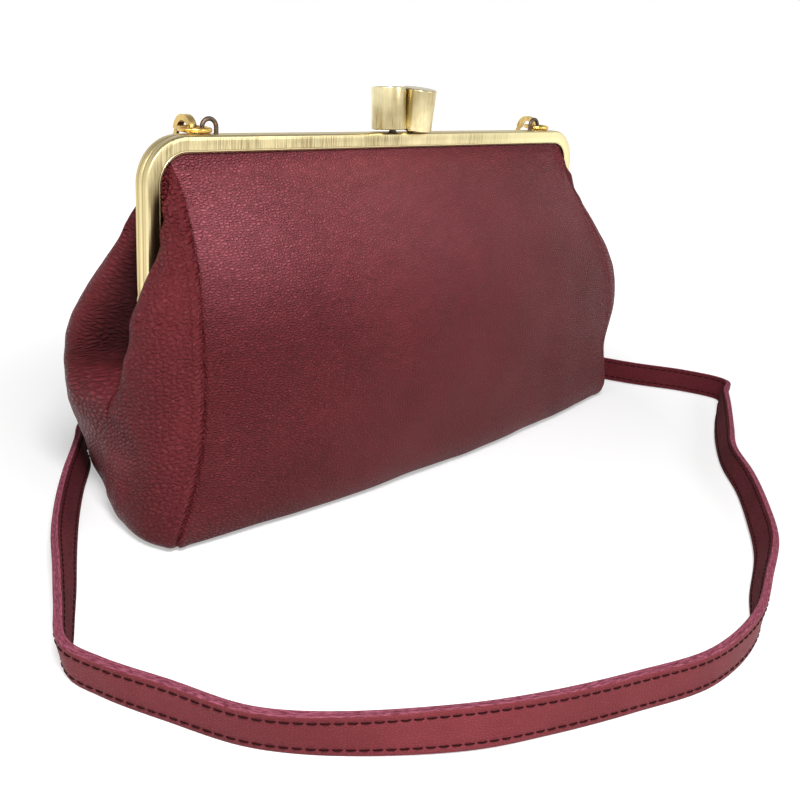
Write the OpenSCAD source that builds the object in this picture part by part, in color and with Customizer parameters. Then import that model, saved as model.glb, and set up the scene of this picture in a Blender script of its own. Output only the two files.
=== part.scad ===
// Kiss-lock frame clutch: a leather bag crimped into a two-part hinged metal frame,
// with two cylinder knobs on top and a long flat shoulder strap clipped behind.
// Millimetres, +Z up. Origin on the floor under the middle of the bag. -Y is the front.

/* [Frame] */
// Width of the closed frame over both arms
frame_w = 260; // [220:1:300]
// Height of the frame's top above the floor
frame_top = 137; // [118:1:150]
// Width of the face of the bar and of the arms
bar_face = 6.1; // [5:0.1:8]
// Depth of one frame half, front to back
half_depth = 3.4; // [3.2:0.1:5]
// Thickness of the channel's sheet metal
sheet_t = 0.6; // [0.5:0.05:0.8]
// Outer radius of the frame's top corners
corner_r = 17; // [12:0.5:24]
// Gap between the closed halves
halves_gap = 0.2; // [0.1:0.05:0.5]
// Rounding of the channel's outer edges
edge_r = 0.9; // [0.4:0.1:1.4]
// Distance from the frame's top down to the hinge rivets
hinge_drop = 58; // [46:1:66]

/* [Hinge] */
// Radius of the round lug on each arm
lug_r = 3.2; // [2.6:0.1:4]
// Clearance round the lugs and between them
lug_gap = 0.3; // [0.2:0.05:0.6]
// Clearance between the two lugs' faces
lug_face_gap = 0.05; // [0.04:0.01:0.12]
// Diameter of the hinge rivet
rivet_d = 2.4; // [1.8:0.1:3]
// Running clearance round the rivet, on radius
rivet_fit = 0.05; // [0.02:0.01:0.09]
// Height of the rivet's heads
rivet_head_h = 0.8; // [0.5:0.1:1.2]

/* [Kiss lock] */
// Diameter of each knob
knob_d = 14.6; // [11:0.1:17]
// Height of each knob
knob_h = 17.5; // [12:0.5:22]
// Gap between the knobs, side by side
knob_gap = 0.4; // [0.3:0.05:1]
// Lean of each knob over the other half, in degrees
knob_tilt = 5; // [0:0.5:8]
// How far a knob sits off its stem, across the frame and over the other half
knob_shift = 2.4; // [0:0.1:2.6]
// Height of the bare neck under a knob
knob_neck = 1.05; // [0.9:0.05:2]
// Edge rounding of a knob
knob_round = 0.7; // [0.3:0.1:1.5]
// Diameter of the stem
stem_d = 2.8; // [2.2:0.1:3.2]
// Depth of the stem inside the knob
stem_in = 6; // [3:0.5:9]
// Diameter of the peg through the bar
peg_d = 1.6; // [1.2:0.1:1.8]

/* [Strap fittings] */
// Distance of each strap loop from the frame's outer end
loop_inset = 30; // [25:1:50]
// Wire diameter of a strap loop
loop_wire = 1.7; // [1.4:0.1:2]
// Width inside a strap loop
loop_in_w = 4.6; // [3.8:0.1:6]
// Height of a loop's straight legs
loop_leg = 2; // [1:0.1:3]
// Wire diameter of a ring
ring_wire = 2; // [1.6:0.1:2.4]
// Outer diameter of a ring
ring_d = 12.6; // [11.5:0.1:15]
// Turn of a ring towards the back, in degrees
ring_turn = 20; // [0:1:30]
// Gap under a resting ring
seat_gap = 0.3; // [0.2:0.05:0.5]
// Slack of a hook over its ring
hook_slack = 1.5; // [1.4:0.05:1.6]
// Slope of the hooks down the back, in degrees from upright
hook_tilt = 26; // [22:1:32]
// Inner radius of a hook
hook_r = 3.2; // [3:0.1:4]
// Width of a hook's band
hook_band = 2.2; // [1.8:0.1:2.6]
// Thickness of a hook
hook_t = 2.8; // [2.4:0.1:3.4]
// Length of a hook's straight shank
hook_shank = 12; // [11:0.5:15]
// Height of a hook's foot block
hook_foot = 4; // [3:0.5:5]
// Thickness of a gate
gate_t = 1.2; // [0.8:0.1:1.6]
// Clearance on each side of a gate
gate_gap = 0.1; // [0.08:0.01:0.2]
// Diameter of a gate's pin
gate_pin_d = 1; // [0.8:0.1:1.2]
// Running clearance of the gate on its pin, on radius
pin_fit = 0.05; // [0.02:0.01:0.08]
// Opening angle of a gate, in degrees
gate_open = 24; // [10:1:26]
// Diameter of the swivel barrel
barrel_d = 6.4; // [5.6:0.1:8]
// Height of the swivel barrel
barrel_h = 4; // [3:0.5:5]
// Diameter of the eye's stem
eye_stem = 2.8; // [2.2:0.1:3.4]
// Running clearance of the stem in the barrel, on radius
eye_fit = 0.05; // [0.02:0.01:0.09]
// Wire diameter of the strap eye
eye_wire = 2.2; // [1.8:0.1:2.6]
// Radius of the strap eye's round ends
eye_r = 3; // [2.6:0.1:4]

/* [Strap] */
// Width of the strap
strap_w = 12; // [9:0.5:13]
// Thickness of the strap
strap_t = 3; // [2:0.1:3.4]
// Length of the stitched and riveted strap end
fold_l = 17; // [12:0.5:22]
// Thickness of the single layer round the eye
fold_t = 1.5; // [1:0.1:1.7]
// Diameter of the strap rivets
fold_rivet_d = 3; // [2:0.1:4]
// Diameter of the strap rivets' caps
fold_cap_d = 6; // [4.5:0.1:8]
// Height of a cap
fold_cap_h = 1; // [0.6:0.1:1.6]

/* [Leather] */
// How much wider than the frame the base is, between its corner seams
base_flare = 20; // [0:1:50]
// Depth between the corner seams at the base
base_d = 85; // [60:1:110]
// How much wider than the frame the bag is over its bulging sides
side_flare = 32; // [22:1:60]
// How far the panels bulge beyond the corner seams
panel_crown = 12.5; // [4:0.5:20]
// How far the rear bottom corners tuck in
rear_tuck = 12; // [0:0.5:16]
// Thickness of the leather
leather_t = 1; // [0.8:0.05:1]
// Thickness of the lining
lining_t = 0.5; // [0.3:0.05:0.8]
// Thickness of the boards in the base
base_board_t = 1.9; // [1:0.1:3]
// Thickness of the boards in the walls
wall_board_t = 0.8; // [0.5:0.05:1]
// Gap between layers
layer_gap = 0.12; // [0.1:0.01:0.2]
// How far the leather reaches into the channel
channel_tuck = 2.6; // [2:0.1:3.4]

/* [Hidden] */
$fn = 48;
overrun = 1;
sliver = 0.01;
fit_gap = 0.02;
half_turn = 180;
quarter = 90;

// Frame values
half_w = frame_w / 2;
hinge_z = frame_top - hinge_drop;
bar_bottom = frame_top - bar_face;
half_y = halves_gap / 2;
half_mid = half_y + half_depth / 2;
lug_cut_r = lug_r + 2 * lug_gap;
lug_in = sheet_t + lug_face_gap;
arm_in = half_w - bar_face;
inner_r = corner_r - bar_face;
corner_x = half_w - corner_r;
corner_z = frame_top - corner_r;
groove_y = half_y + sheet_t;
groove_out = half_y + half_depth - sheet_t;
rivet_head_r = rivet_d * 0.85;

// Kiss lock values
knob_x = (knob_d + knob_gap) / 2;
bore_d = stem_d + 2 * fit_gap;
collar_h = knob_neck / 2;

// Strap fitting values
loop_x = half_w - loop_inset;
ring_r = (ring_d - ring_wire) / 2;
ring_z = frame_top + ring_wire / 2 + seat_gap;
ring_cx = loop_x + ring_r * cos(ring_turn);
ring_cy = half_mid + ring_r * sin(ring_turn);
ring_back = ring_cy + ring_r;
hook_out = hook_r + hook_band;
throat_w = hook_r - ring_wire / 2 - hook_slack;
hook_end = hook_shank + hook_foot;
nose_l = hook_r * 0.75;
gate_pin_w = hook_shank - gate_pin_d;
gate_n = hook_r + hook_band / 2;
gate_slot = gate_t + 2 * gate_gap;
eye_neck = hook_end + barrel_h + 2 * fit_gap;
eye_top = eye_neck + eye_wire;
eye_half = (strap_w + eye_wire / 2) / 2;
eye_low = eye_top + 2 * eye_r;
fold_in = eye_wire / 2 + fit_gap;
fold_out = fold_in + fold_t;
fold_end = eye_low + fold_l;
fold_rivet_w = eye_low + fold_l * 0.55;

// Leather rows, each a share of the sizes that it follows. Columns: height, seam
// width, seam depth, crown, lobe width, valley width and rear tuck.
base_w = frame_w + base_flare;
side_w = frame_w + side_flare;
wall_bottom = leather_t + layer_gap;
split_z = hinge_z - lug_r;
mouth_z = bar_bottom + channel_tuck;
skin_out = groove_out - fit_gap * 5;
mouth_half_w = arm_in - bar_face * 0.75;
lower_shares = [
    [0, 0.9, 0.912, 0.64, 0.757, 0.757, 1],
    [0.045, 1, 0.975, 0.72, 0.906, 0.906, 1],
    [0.145, 0.966, 1, 0.8, 1, 1, 0.83],
    [0.345, 0.758, 0.962, 0.92, 1, 1, 0.5],
    [0.585, 0.565, 0.887, 1, 0.963, 0.87, 0.17],
    [0.8, 0.444, 0.8, 1, 0.944, 0.26, 0],
    [1, 0.324, 0.685, 0.96, 0.83, 0.12, 0]];
upper_shares = [
    [0.14, 0.227, 0.61, 0.92, 0.663],
    [0.296, 0.12, 0.484, 0.88, 0.532],
    [0.452, 0.034, 0.345, 0.76, 0.363],
    [0.61, -0.015, 0.232, 0.6, 0.232],
    [0.73, -0.03, 0.151, 0.44, 0.161],
    [0.817, -0.015, 0.08, 0.3, 0.112],
    [0.887, 0, 0, 0.16, 0.03],
    [0.946, -0.015, 0, 0, 0.08],
    [1, -0.35, 0, 0, 0.08]];
lower_rows = len(lower_shares);
panel_rows = lower_rows + len(upper_shares);
gusset_rows = panel_rows - 2;
panel_half_steps = 6;
gusset_steps = 12;
crown_power = 2.2;
panel_side_share = 0.997;
seam_gap = leather_t;

function mix(a, b, share) = a + (b - a) * share;
function row_share(k, column) =
    k < lower_rows ? lower_shares[k][column] : upper_shares[k - lower_rows][column];
function row_z(k) = k < lower_rows
    ? mix(wall_bottom, split_z, lower_shares[k][0])
    : mix(split_z, mouth_z, upper_shares[k - lower_rows][0]);
function seam_x(k) = mix(mouth_half_w, base_w / 2, row_share(k, 1));
function seam_y(k) = mix(skin_out, base_d / 2, row_share(k, 2));
function crown(k) = panel_crown * row_share(k, 3);
function lobe_x(k) = mix(mouth_half_w, side_w / 2, row_share(k, 4));
function valley_x(k) = mix(mouth_half_w, side_w / 2, lower_shares[k][5]);
function tuck(k, rear) = rear && k < lower_rows ? rear_tuck * lower_shares[k][6] : 0;

// Inner edge of the frame's arm at a height, round the corner too
function arm_edge(z) = z < corner_z ? arm_in
    : corner_x + sqrt(max(inner_r * inner_r - pow(z - corner_z, 2), 0));

// A point on the outside of a panel: s runs from seam to seam, -1 to 1
function panel_point(k, s, rear) =
    [(seam_x(k) - tuck(k, rear)) * s,
     (seam_y(k) + crown(k) * (1 - pow(abs(s), crown_power))) * (rear ? 1 : -1),
     row_z(k)];

// Control points of half a gusset, from the seam round the lobe to the middle.
// Above the hinge it folds back round the arm's face into the channel.
lobe_full_share = 0.82;
lobe_back_share = 0.42;
valley_start_share = 0.2;
valley_mid_share = 0.12;
valley_end_share = 0.06;
tuck_wide_share = 0.6;
face_gap = leather_t * 1.4;
face_y = half_y + half_depth + face_gap;
mouth_share = 0.85;
mouth_y = mix(groove_y, groove_out, mouth_share);
function gusset_control(k, rear) =
    let (sx = seam_x(k) - tuck(k, rear), sy = seam_y(k), lx = lobe_x(k),
        wide = lx - tuck(k, rear) * tuck_wide_share)
    k < lower_rows
        ? let (cx = valley_x(k))
            [[sx, sy], [wide, sy * lobe_full_share], [lx, sy * lobe_back_share],
             [(lx + cx) / 2, sy * valley_start_share], [cx, sy * valley_mid_share],
             [cx, sy * valley_end_share], [cx, half_y]]
        : let (ax = arm_edge(row_z(k)), fy = min(face_y, sy))
            [[sx, sy], [lx, sy * lobe_full_share],
             [lx, min(max(sy * lobe_back_share, fy), sy)],
             [(lx + ax) / 2, fy], [ax - face_gap, min(fy, face_y - sheet_t / 2)],
             [ax - face_gap * 1.2, mouth_y], [ax + face_gap, mouth_y]];

// A smooth curve through control points, u from 0 to 1
function smooth_at(p, u) =
    let (n = len(p) - 1, f = min(u * n, n - sliver / n), i = floor(f), t = f - i,
        a = p[max(i - 1, 0)], b = p[i], c = p[i + 1], d = p[min(i + 2, n)])
    0.5 * ((2 * b) + (c - a) * t + (2 * a - 5 * b + 4 * c - d) * t * t
        + (3 * b - a - 3 * c + d) * t * t * t);
function gusset_point(k, u, rear) =
    let (q = smooth_at(gusset_control(k, rear), u))
    [q[0], q[1] * (rear ? 1 : -1), row_z(k)];

// Grids of points, one list for each row
function panel_grid(k0, k1, s0, s1, steps, rear) =
    [for (k = [k0:k1]) [for (i = [0:steps]) panel_point(k, mix(s0, s1, i / steps), rear)]];
function seam_skip(k, rear) =
    let (step = norm(gusset_point(k, 0.5 / gusset_steps, rear) - gusset_point(k, 0, rear)))
    min(0.5 * seam_gap / max(step, sliver), 1) / gusset_steps;
function gusset_grid(k0, k1, rear) =
    [for (k = [k0:k1]) let (skip = seam_skip(k, rear))
        [for (i = [0:gusset_steps])
            gusset_point(k, mix(skip, 1, i / gusset_steps), rear)]];

// Outward direction at a grid point, from its neighbours
function unit(v) = v / max(norm(v), sliver * sliver);
function grid_normal(g, r, c, side) =
    let (rows = len(g) - 1, cols = len(g[0]) - 1,
        du = g[r][min(c + 1, cols)] - g[r][max(c - 1, 0)],
        dv = g[min(r + 1, rows)][c] - g[max(r - 1, 0)][c])
    unit(cross(du, dv)) * side;
function inset_grid(g, depth, side) =
    [for (r = [0:len(g) - 1]) [for (c = [0:len(g[0]) - 1])
        g[r][c] - grid_normal(g, r, c, side) * depth]];

// A curved wall between two insets of a grid. side is 1 where the grid's own
// normal points out of the bag and -1 where it points in.
module wall(g, depth0, depth1, side) {
    outer = depth0 == 0 ? g : inset_grid(g, depth0, side);
    inner = inset_grid(g, depth1, side);
    rows = len(g);
    cols = len(g[0]);
    count = rows * cols;
    points = concat([for (r = outer) for (p = r) p], [for (r = inner) for (p = r) p]);
    function quad(a, b, c, d) = [[a, b, c], [a, c, d]];
    faces = concat(
        [for (r = [0:rows - 2]) for (c = [0:cols - 2]) let (a = r * cols + c)
            each quad(a, a + cols, a + cols + 1, a + 1)],
        [for (r = [0:rows - 2]) for (c = [0:cols - 2]) let (a = count + r * cols + c)
            each quad(a, a + 1, a + cols + 1, a + cols)],
        [for (r = [0:rows - 2]) let (a = r * cols)
            each quad(a, a + count, a + count + cols, a + cols)],
        [for (r = [0:rows - 2]) let (a = r * cols + cols - 1)
            each quad(a, a + cols, a + count + cols, a + count)],
        [for (c = [0:cols - 2]) let (a = c)
            each quad(a, a + 1, a + count + 1, a + count)],
        [for (c = [0:cols - 2]) let (a = (rows - 1) * cols + c)
            each quad(a, a + count, a + count + 1, a + 1)]);
    turned = [for (f = faces) [f[2], f[1], f[0]]];
    polyhedron(points, side > 0 ? faces : turned, convexity = 6);
}

// Section of one frame half: e runs in from the outer edge, d runs away from the
// other half. The channel opens inwards, and its outer edges are rounded.
module channel_section() {
    difference() {
        square([bar_face, half_depth]);
        translate([sheet_t, sheet_t])
            square([bar_face, half_depth - 2 * sheet_t]);
        for (y = [0, half_depth])
            translate([0, y])
                mirror([0, y > 0 ? 1 : 0])
                    difference() {
                        translate([-sliver, -sliver])
                            square(edge_r + sliver);
                        translate([edge_r, edge_r])
                            circle(edge_r);
                    }
    }
}

// The paper cord pressed in beside the leather
module cord_section() {
    translate([bar_face - channel_tuck - sheet_t, sheet_t + fit_gap])
        square([channel_tuck, sheet_t * 0.8]);
}

// Sweeps a section along the arms, corners and bar, from a height up
module arch_sweep(bottom) {
    for (side = [0, 1])
        mirror([side, 0, 0]) {
            translate([-half_w, half_y, bottom])
                linear_extrude(corner_z - bottom)
                    children();
            translate([-corner_x, half_y, corner_z])
                rotate([quarter, 0, 0])
                    rotate([0, 0, quarter])
                        rotate_extrude(angle = quarter)
                            mirror([0, 1])
                                translate([corner_r, 0])
                                    mirror([1, 0])
                                        children();
        }
    translate([-corner_x, half_y, frame_top])
        rotate([0, quarter, 0])
            linear_extrude(2 * corner_x)
                children();
}

// Round lug on the left arm, at a depth in from the arm's outer side
module lug(inset, neck_w) {
    translate([-half_w + inset, 0, hinge_z])
        rotate([0, quarter, 0])
            cylinder(r = lug_r, h = sheet_t);
    translate([-half_w + inset, half_mid - neck_w / 2, hinge_z])
        cube([sheet_t, neck_w, lug_cut_r + 2 * lug_r]);
}

module lug_bore(play) {
    translate([-half_w - overrun, 0, hinge_z])
        rotate([0, quarter, 0])
            cylinder(r = rivet_d / 2 + play, h = bar_face);
}

module frame_half(inset, neck_w, play) {
    difference() {
        union() {
            arch_sweep(hinge_z + lug_cut_r)
                channel_section();
            for (side = [0, 1])
                mirror([side, 0, 0]) {
                    lug(inset, neck_w);
                    if (inset > 0)
                        translate([-half_w + sheet_t / 2, half_mid - neck_w / 2,
                                hinge_z + lug_cut_r + lug_r])
                            cube([inset, neck_w, lug_r]);
                }
        }
        for (side = [0, 1])
            mirror([side, 0, 0])
                lug_bore(play);
        children();
    }
}

module peg_hole(x) {
    translate([x, half_mid, frame_top - 2 * sheet_t])
        cylinder(d = peg_d + 2 * fit_gap, h = 3 * sheet_t);
}

module loop_holes() {
    for (side = [-1, 1])
        for (leg = [-1, 1])
            translate([side * loop_x + leg * (loop_in_w + loop_wire) / 2, half_mid,
                    frame_top - 2 * sheet_t])
                cylinder(d = loop_wire * 0.8 + 2 * fit_gap, h = 3 * sheet_t);
}

module rear_frame() {
    color("darkkhaki")
        frame_half(0, half_depth - 2 * edge_r, fit_gap) {
            peg_hole(knob_x);
            loop_holes();
        }
}

module front_frame() {
    color("darkkhaki")
        mirror([0, 1, 0])
            frame_half(lug_in, half_depth - 2 * sheet_t, rivet_fit)
                peg_hole(-knob_x);
}

// Rivet through both lugs of one arm, with a domed head outside
module hinge_rivet(side) {
    span = 2 * sheet_t + lug_face_gap;
    color("darkgoldenrod")
        translate([side * half_w, 0, hinge_z])
            mirror([side > 0 ? 1 : 0, 0, 0])
                rotate([0, quarter, 0]) {
                    cylinder(d = rivet_d, h = span + rivet_head_h / 2);
                    translate([0, 0, span + lug_face_gap])
                        cylinder(r = rivet_head_r, h = rivet_head_h);
                    intersection() {
                        translate([0, 0, rivet_head_r])
                            sphere(rivet_head_r + rivet_head_h);
                        translate([0, 0, -rivet_head_h])
                            cylinder(r = rivet_head_r, h = rivet_head_h);
                    }
                }
}

module hinge_rivet_left() {
    hinge_rivet(-1);
}

module hinge_rivet_right() {
    hinge_rivet(1);
}

// Places a knob's own frame: on the bar of the half on that side of the frame,
// leaning over the other half
module knob_place(side) {
    translate([side * knob_x, side * half_mid, frame_top])
        rotate([side * knob_tilt, 0, 0])
            children();
}

// Brass cylinder with rounded rims and an off-centre blind bore for its stem
module knob(side) {
    r = knob_d / 2;
    color("darkkhaki")
        knob_place(side)
            translate([0, 0, knob_neck])
                difference() {
                    translate([0, -side * knob_shift, 0])
                        rotate_extrude($fn = 96)
                            union() {
                                square([r - knob_round, knob_h]);
                                translate([0, knob_round])
                                    square([r, knob_h - 2 * knob_round]);
                                for (z = [knob_round, knob_h - knob_round])
                                    translate([r - knob_round, z])
                                        intersection() {
                                            circle(knob_round);
                                            translate([0, -knob_round])
                                                square([knob_round, 2 * knob_round]);
                                        }
                            }
                    translate([0, 0, -overrun])
                        cylinder(d = bore_d, h = stem_in + overrun);
                }
}

// Stem with a peg through the bar, peened over inside the channel
module knob_stem(side) {
    color("dimgray") {
        knob_place(side)
            translate([0, 0, collar_h / 2])
                cylinder(d = stem_d, h = knob_neck + stem_in - collar_h);
        translate([side * knob_x, side * half_mid, frame_top - 2 * sheet_t])
            cylinder(d = peg_d, h = 2 * sheet_t + collar_h / 2);
        translate([side * knob_x, side * half_mid, frame_top + fit_gap])
            cylinder(r = stem_d / 2 + collar_h / 2, h = collar_h);
        translate([side * knob_x, side * half_mid, frame_top - 2 * sheet_t - fit_gap])
            cylinder(d = peg_d * 1.25, h = sheet_t);
    }
}

// The front half carries the left knob, and the rear half the right one
module front_knob() {
    knob(-1);
}

module front_knob_stem() {
    knob_stem(-1);
}

module rear_knob() {
    knob(1);
}

module rear_knob_stem() {
    knob_stem(1);
}

// Blackened wire loop riveted on top of the rear half
module strap_loop(side) {
    r = (loop_in_w + loop_wire) / 2;
    color("dimgray")
        translate([side * loop_x, half_mid, frame_top]) {
            translate([0, 0, loop_leg])
                rotate([quarter, 0, 0])
                    rotate_extrude(angle = half_turn)
                        translate([r, 0])
                            circle(d = loop_wire);
            for (leg = [-1, 1])
                translate([leg * r, 0, 0]) {
                    translate([0, 0, fit_gap])
                        cylinder(d = loop_wire, h = loop_leg - fit_gap);
                    translate([0, 0, -2 * sheet_t])
                        cylinder(d = loop_wire * 0.8, h = 2 * sheet_t + loop_leg);
                    translate([0, 0, -2 * sheet_t - fit_gap])
                        cylinder(d = loop_wire, h = sheet_t);
                }
        }
}

module strap_loop_left() {
    strap_loop(-1);
}

module strap_loop_right() {
    strap_loop(1);
}

// Gilt ring through a loop, lying back over the bar
module ring(side) {
    color("gold")
        translate([side * ring_cx, ring_cy, ring_z])
            rotate_extrude()
                translate([ring_r, 0])
                    circle(d = ring_wire);
}

module ring_left() {
    ring(-1);
}

module ring_right() {
    ring(1);
}

// Places a hook's own frame: Y runs away from the bag and -Z down the back, with
// the middle of the hook's throat at the origin
module hook_place(side) {
    translate([side * ring_cx, ring_back, ring_z])
        rotate([hook_tilt, 0, 0])
            translate([0, 0, -throat_w])
                children();
}

// Extrudes an outline drawn in Y and Z evenly about the hook's middle plane
module across(width) {
    rotate([quarter, 0, quarter])
        translate([0, 0, -width / 2])
            linear_extrude(width)
                children();
}

// Snap hook: a C-shaped band on a foot block with a barrel for the swivel
module hook(side) {
    color("gold")
        hook_place(side)
            difference() {
                union() {
                    across(hook_t) {
                        difference() {
                            circle(hook_out);
                            circle(hook_r);
                            translate([-hook_out - overrun, -hook_out - overrun])
                                square([2 * (hook_out + overrun), hook_out + overrun]);
                        }
                        translate([-hook_out, -hook_end])
                            square([hook_band, hook_end]);
                        translate([hook_r, -nose_l])
                            square([hook_band, nose_l]);
                        translate([-hook_out, -hook_end])
                            square([2 * hook_out, hook_foot]);
                        translate([hook_r, -hook_end])
                            square([hook_band, hook_foot + gate_pin_d * 2]);
                    }
                    translate([0, 0, -hook_end - barrel_h])
                        cylinder(d = barrel_d, h = barrel_h + sliver);
                }
                across(gate_slot)
                    translate([hook_r - hook_band / 4, -hook_shank - gate_gap])
                        square([2 * hook_band, hook_shank - nose_l]);
                gate_pin_shape(2 * hook_t, fit_gap);
                translate([0, 0, -hook_end - barrel_h - overrun])
                    cylinder(d = eye_stem + 2 * eye_fit, h = barrel_h + hook_foot * 0.6 + overrun);
            }
}

module gate_pin_shape(length, play) {
    translate([-length / 2, gate_n, -gate_pin_w])
        rotate([0, quarter, 0])
            cylinder(d = gate_pin_d + 2 * play, h = length);
}

module hook_left() {
    hook(-1);
}

module hook_right() {
    hook(1);
}

// Spring gate: a flat lever on its pin that closes the hook's mouth
module gate(side) {
    color("gold")
        hook_place(side)
            difference() {
                across(gate_t) {
                    translate([gate_n, -gate_pin_w])
                        circle(hook_band * 0.42);
                    translate([gate_n - hook_band * 0.42, -gate_pin_w])
                        square([hook_band * 0.84, gate_pin_w - nose_l - gate_gap]);
                }
                gate_pin_shape(2 * hook_t, pin_fit);
            }
}

module gate_left() {
    gate(-1);
}

module gate_right() {
    gate(1);
}

module gate_pin(side) {
    color("goldenrod")
        hook_place(side)
            gate_pin_shape(hook_t, 0);
}

module gate_pin_left() {
    gate_pin(-1);
}

module gate_pin_right() {
    gate_pin(1);
}

// Swivel eye: a stem in the hook's barrel and a long eye for the strap
module strap_eye(side) {
    color("gold")
        hook_place(side) {
            translate([0, 0, -eye_top])
                cylinder(d = eye_stem, h = eye_top - hook_shank - hook_foot * 0.5);
            for (w = [eye_top, eye_low])
                translate([-eye_half, 0, -w])
                    rotate([0, quarter, 0])
                        cylinder(d = eye_wire, h = 2 * eye_half);
            for (end = [-1, 1])
                translate([end * eye_half, 0, -eye_top - eye_r])
                    rotate([quarter, 0, 0])
                        rotate([0, 0, end > 0 ? -quarter : quarter])
                            rotate_extrude(angle = half_turn)
                                translate([eye_r, 0])
                                    circle(d = eye_wire);
        }
}

module strap_eye_left() {
    strap_eye(-1);
}

module strap_eye_right() {
    strap_eye(1);
}

// Strap end turned round the eye, closed by a rivet
module strap_end(side) {
    color("brown")
        hook_place(side)
            difference() {
                across(strap_w) {
                    translate([0, -eye_low])
                        circle(fold_out);
                    translate([-strap_t / 2, -fold_end])
                        square([strap_t, fold_l]);
                }
                translate([-strap_w, 0, -eye_low])
                    rotate([0, quarter, 0])
                        cylinder(r = fold_in, h = 2 * strap_w);
                translate([0, strap_t, -fold_rivet_w])
                    rotate([quarter, 0, 0])
                        cylinder(d = fold_rivet_d + 2 * fit_gap, h = 2 * strap_t);
            }
}

module strap_end_left() {
    strap_end(-1);
}

module strap_end_right() {
    strap_end(1);
}

module strap_rivet(side) {
    color("gold")
        hook_place(side)
            translate([0, 0, -fold_rivet_w])
                rotate([quarter, 0, 0]) {
                    translate([0, 0, -strap_t / 2 - fold_cap_h / 2])
                        cylinder(d = fold_rivet_d, h = strap_t + fold_cap_h);
                    for (face = [0, 1])
                        mirror([0, 0, face])
                            translate([0, 0, strap_t / 2 + fit_gap])
                                cylinder(d1 = fold_cap_d, d2 = fold_cap_d * 0.7, h = fold_cap_h);
                }
}

module strap_rivet_left() {
    strap_rivet(-1);
}

module strap_rivet_right() {
    strap_rivet(1);
}

// Middle line of the free strap, from the left end to the right one, by hand.
// Each point has the direction of the strap's width there.
strap_route = [
    [-105, 29.1, 97, -1, 0, 0], [-105, 36, 83, -1, 0, 0], [-105, 47, 60, -1, 0, 0],
    [-106, 58, 36, -1, 0.1, 0], [-107, 66, 17, -1, 0.2, 0], [-110, 69, 5, -0.9, 0.4, 0.1],
    [-117, 65, 2.6, -0.85, 0.5, 0.2], [-127, 57, 3.4, -0.8, 0.5, 0.4],
    [-134.3, 42, 0, -0.34, 0.2, 0.92], [-147.1, 22.6, 0, -0.36, 0.24, 0.9],
    [-160.8, 2.6, 0, -0.41, 0.26, 0.88], [-173.8, -18.6, 0, -0.44, 0.25, 0.86],
    [-185.5, -40, 0, -0.34, 0.19, 0.92], [-196.7, -59.9, 0, -0.23, 0.12, 0.97],
    [-205.6, -77.2, 0, -0.16, 0.03, 0.99], [-203.2, -92.2, 0, -0.1, -0.03, 0.99],
    [-195.8, -111.4, 0, -0.03, -0.01, 1], [-186.3, -134.1, 0, -0.08, -0.05, 1],
    [-169.3, -152.7, 0, 0.03, 0.03, 1], [-145.8, -170.7, 0, 0.13, 0.2, 0.97],
    [-123.8, -182.5, 0, 0.05, 0.11, 0.99], [-97.7, -193.5, 0, 0.02, 0.06, 1],
    [-69.3, -203, 0, 0.01, 0.04, 1], [-38.3, -202.3, 0, 0, -0.01, 1],
    [-10.2, -192.4, 0, 0.11, -0.31, 0.95], [18.3, -182, 0, 0.18, -0.38, 0.91],
    [44.1, -167.4, 0, 0.19, -0.31, 0.93], [69, -151, 0, 0.16, -0.22, 0.96],
    [91.8, -133, 0, 0.13, -0.19, 0.97], [117.2, -118.9, 0, 0.2, -0.38, 0.9],
    [142.5, -106.2, 0, 0.17, -0.34, 0.93], [165.3, -95.1, 0, 0.07, -0.13, 0.99],
    [182.2, -86.3, 0, 0.23, -0.1, 0.97], [178.4, -65, 0, 0.26, 0.1, 0.96],
    [164.5, -39, 0, 0.25, 0.11, 0.96], [154.2, -10.1, 0, 0.2, 0.05, 0.98],
    [148.7, 19.3, 0, 0.3, 0.08, 0.95], [140.7, 44.1, 0, 0.47, 0.27, 0.84],
    [127, 57, 3.4, 0.8, 0.5, 0.4], [117, 65, 2.6, 0.85, 0.5, 0.2], [110, 69, 5, 0.9, 0.4, 0.1],
    [107, 66, 17, 1, 0.2, 0], [106, 58, 36, 1, 0.1, 0], [105, 47, 60, 1, 0, 0],
    [105, 36, 83, 1, 0, 0], [105, 29.1, 97, 1, 0, 0]];
route_steps = 2;

// The route's ends sit on the strap ends
end_drop = throat_w + fold_end;
end_y = ring_back + end_drop * sin(hook_tilt);
end_z = ring_z - end_drop * cos(hook_tilt);
function route_at(i) =
    i == 0 ? [-ring_cx, end_y, end_z, -1, 0, 0]
    : i == len(strap_route) - 1 ? [ring_cx, end_y, end_z, 1, 0, 0]
    : strap_route[i];
route = [for (i = [0:len(strap_route) - 1]) route_at(i)];
function route_smooth(u) =
    let (n = len(route) - 1, f = min(u * n, n - sliver / n), i = floor(f), t = f - i,
        a = route[max(i - 1, 0)], b = route[i], c = route[i + 1], d = route[min(i + 2, n)])
    u >= 1 ? route[n]
    : 0.5 * ((2 * b) + (c - a) * t + (2 * a - 5 * b + 4 * c - d) * t * t
        + (3 * b - a - 3 * c + d) * t * t * t);

strap_corner = strap_t / 4;
strap_outline = [
    [strap_w / 2, strap_t / 2 - strap_corner], [strap_w / 2 - strap_corner, strap_t / 2],
    [strap_corner - strap_w / 2, strap_t / 2], [-strap_w / 2, strap_t / 2 - strap_corner],
    [-strap_w / 2, strap_corner - strap_t / 2], [strap_corner - strap_w / 2, -strap_t / 2],
    [strap_w / 2 - strap_corner, -strap_t / 2], [strap_w / 2, strap_corner - strap_t / 2]];

function xyz(p) = [p[0], p[1], p[2]];
function width_of(p) = [p[3], p[4], p[5]];

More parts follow.
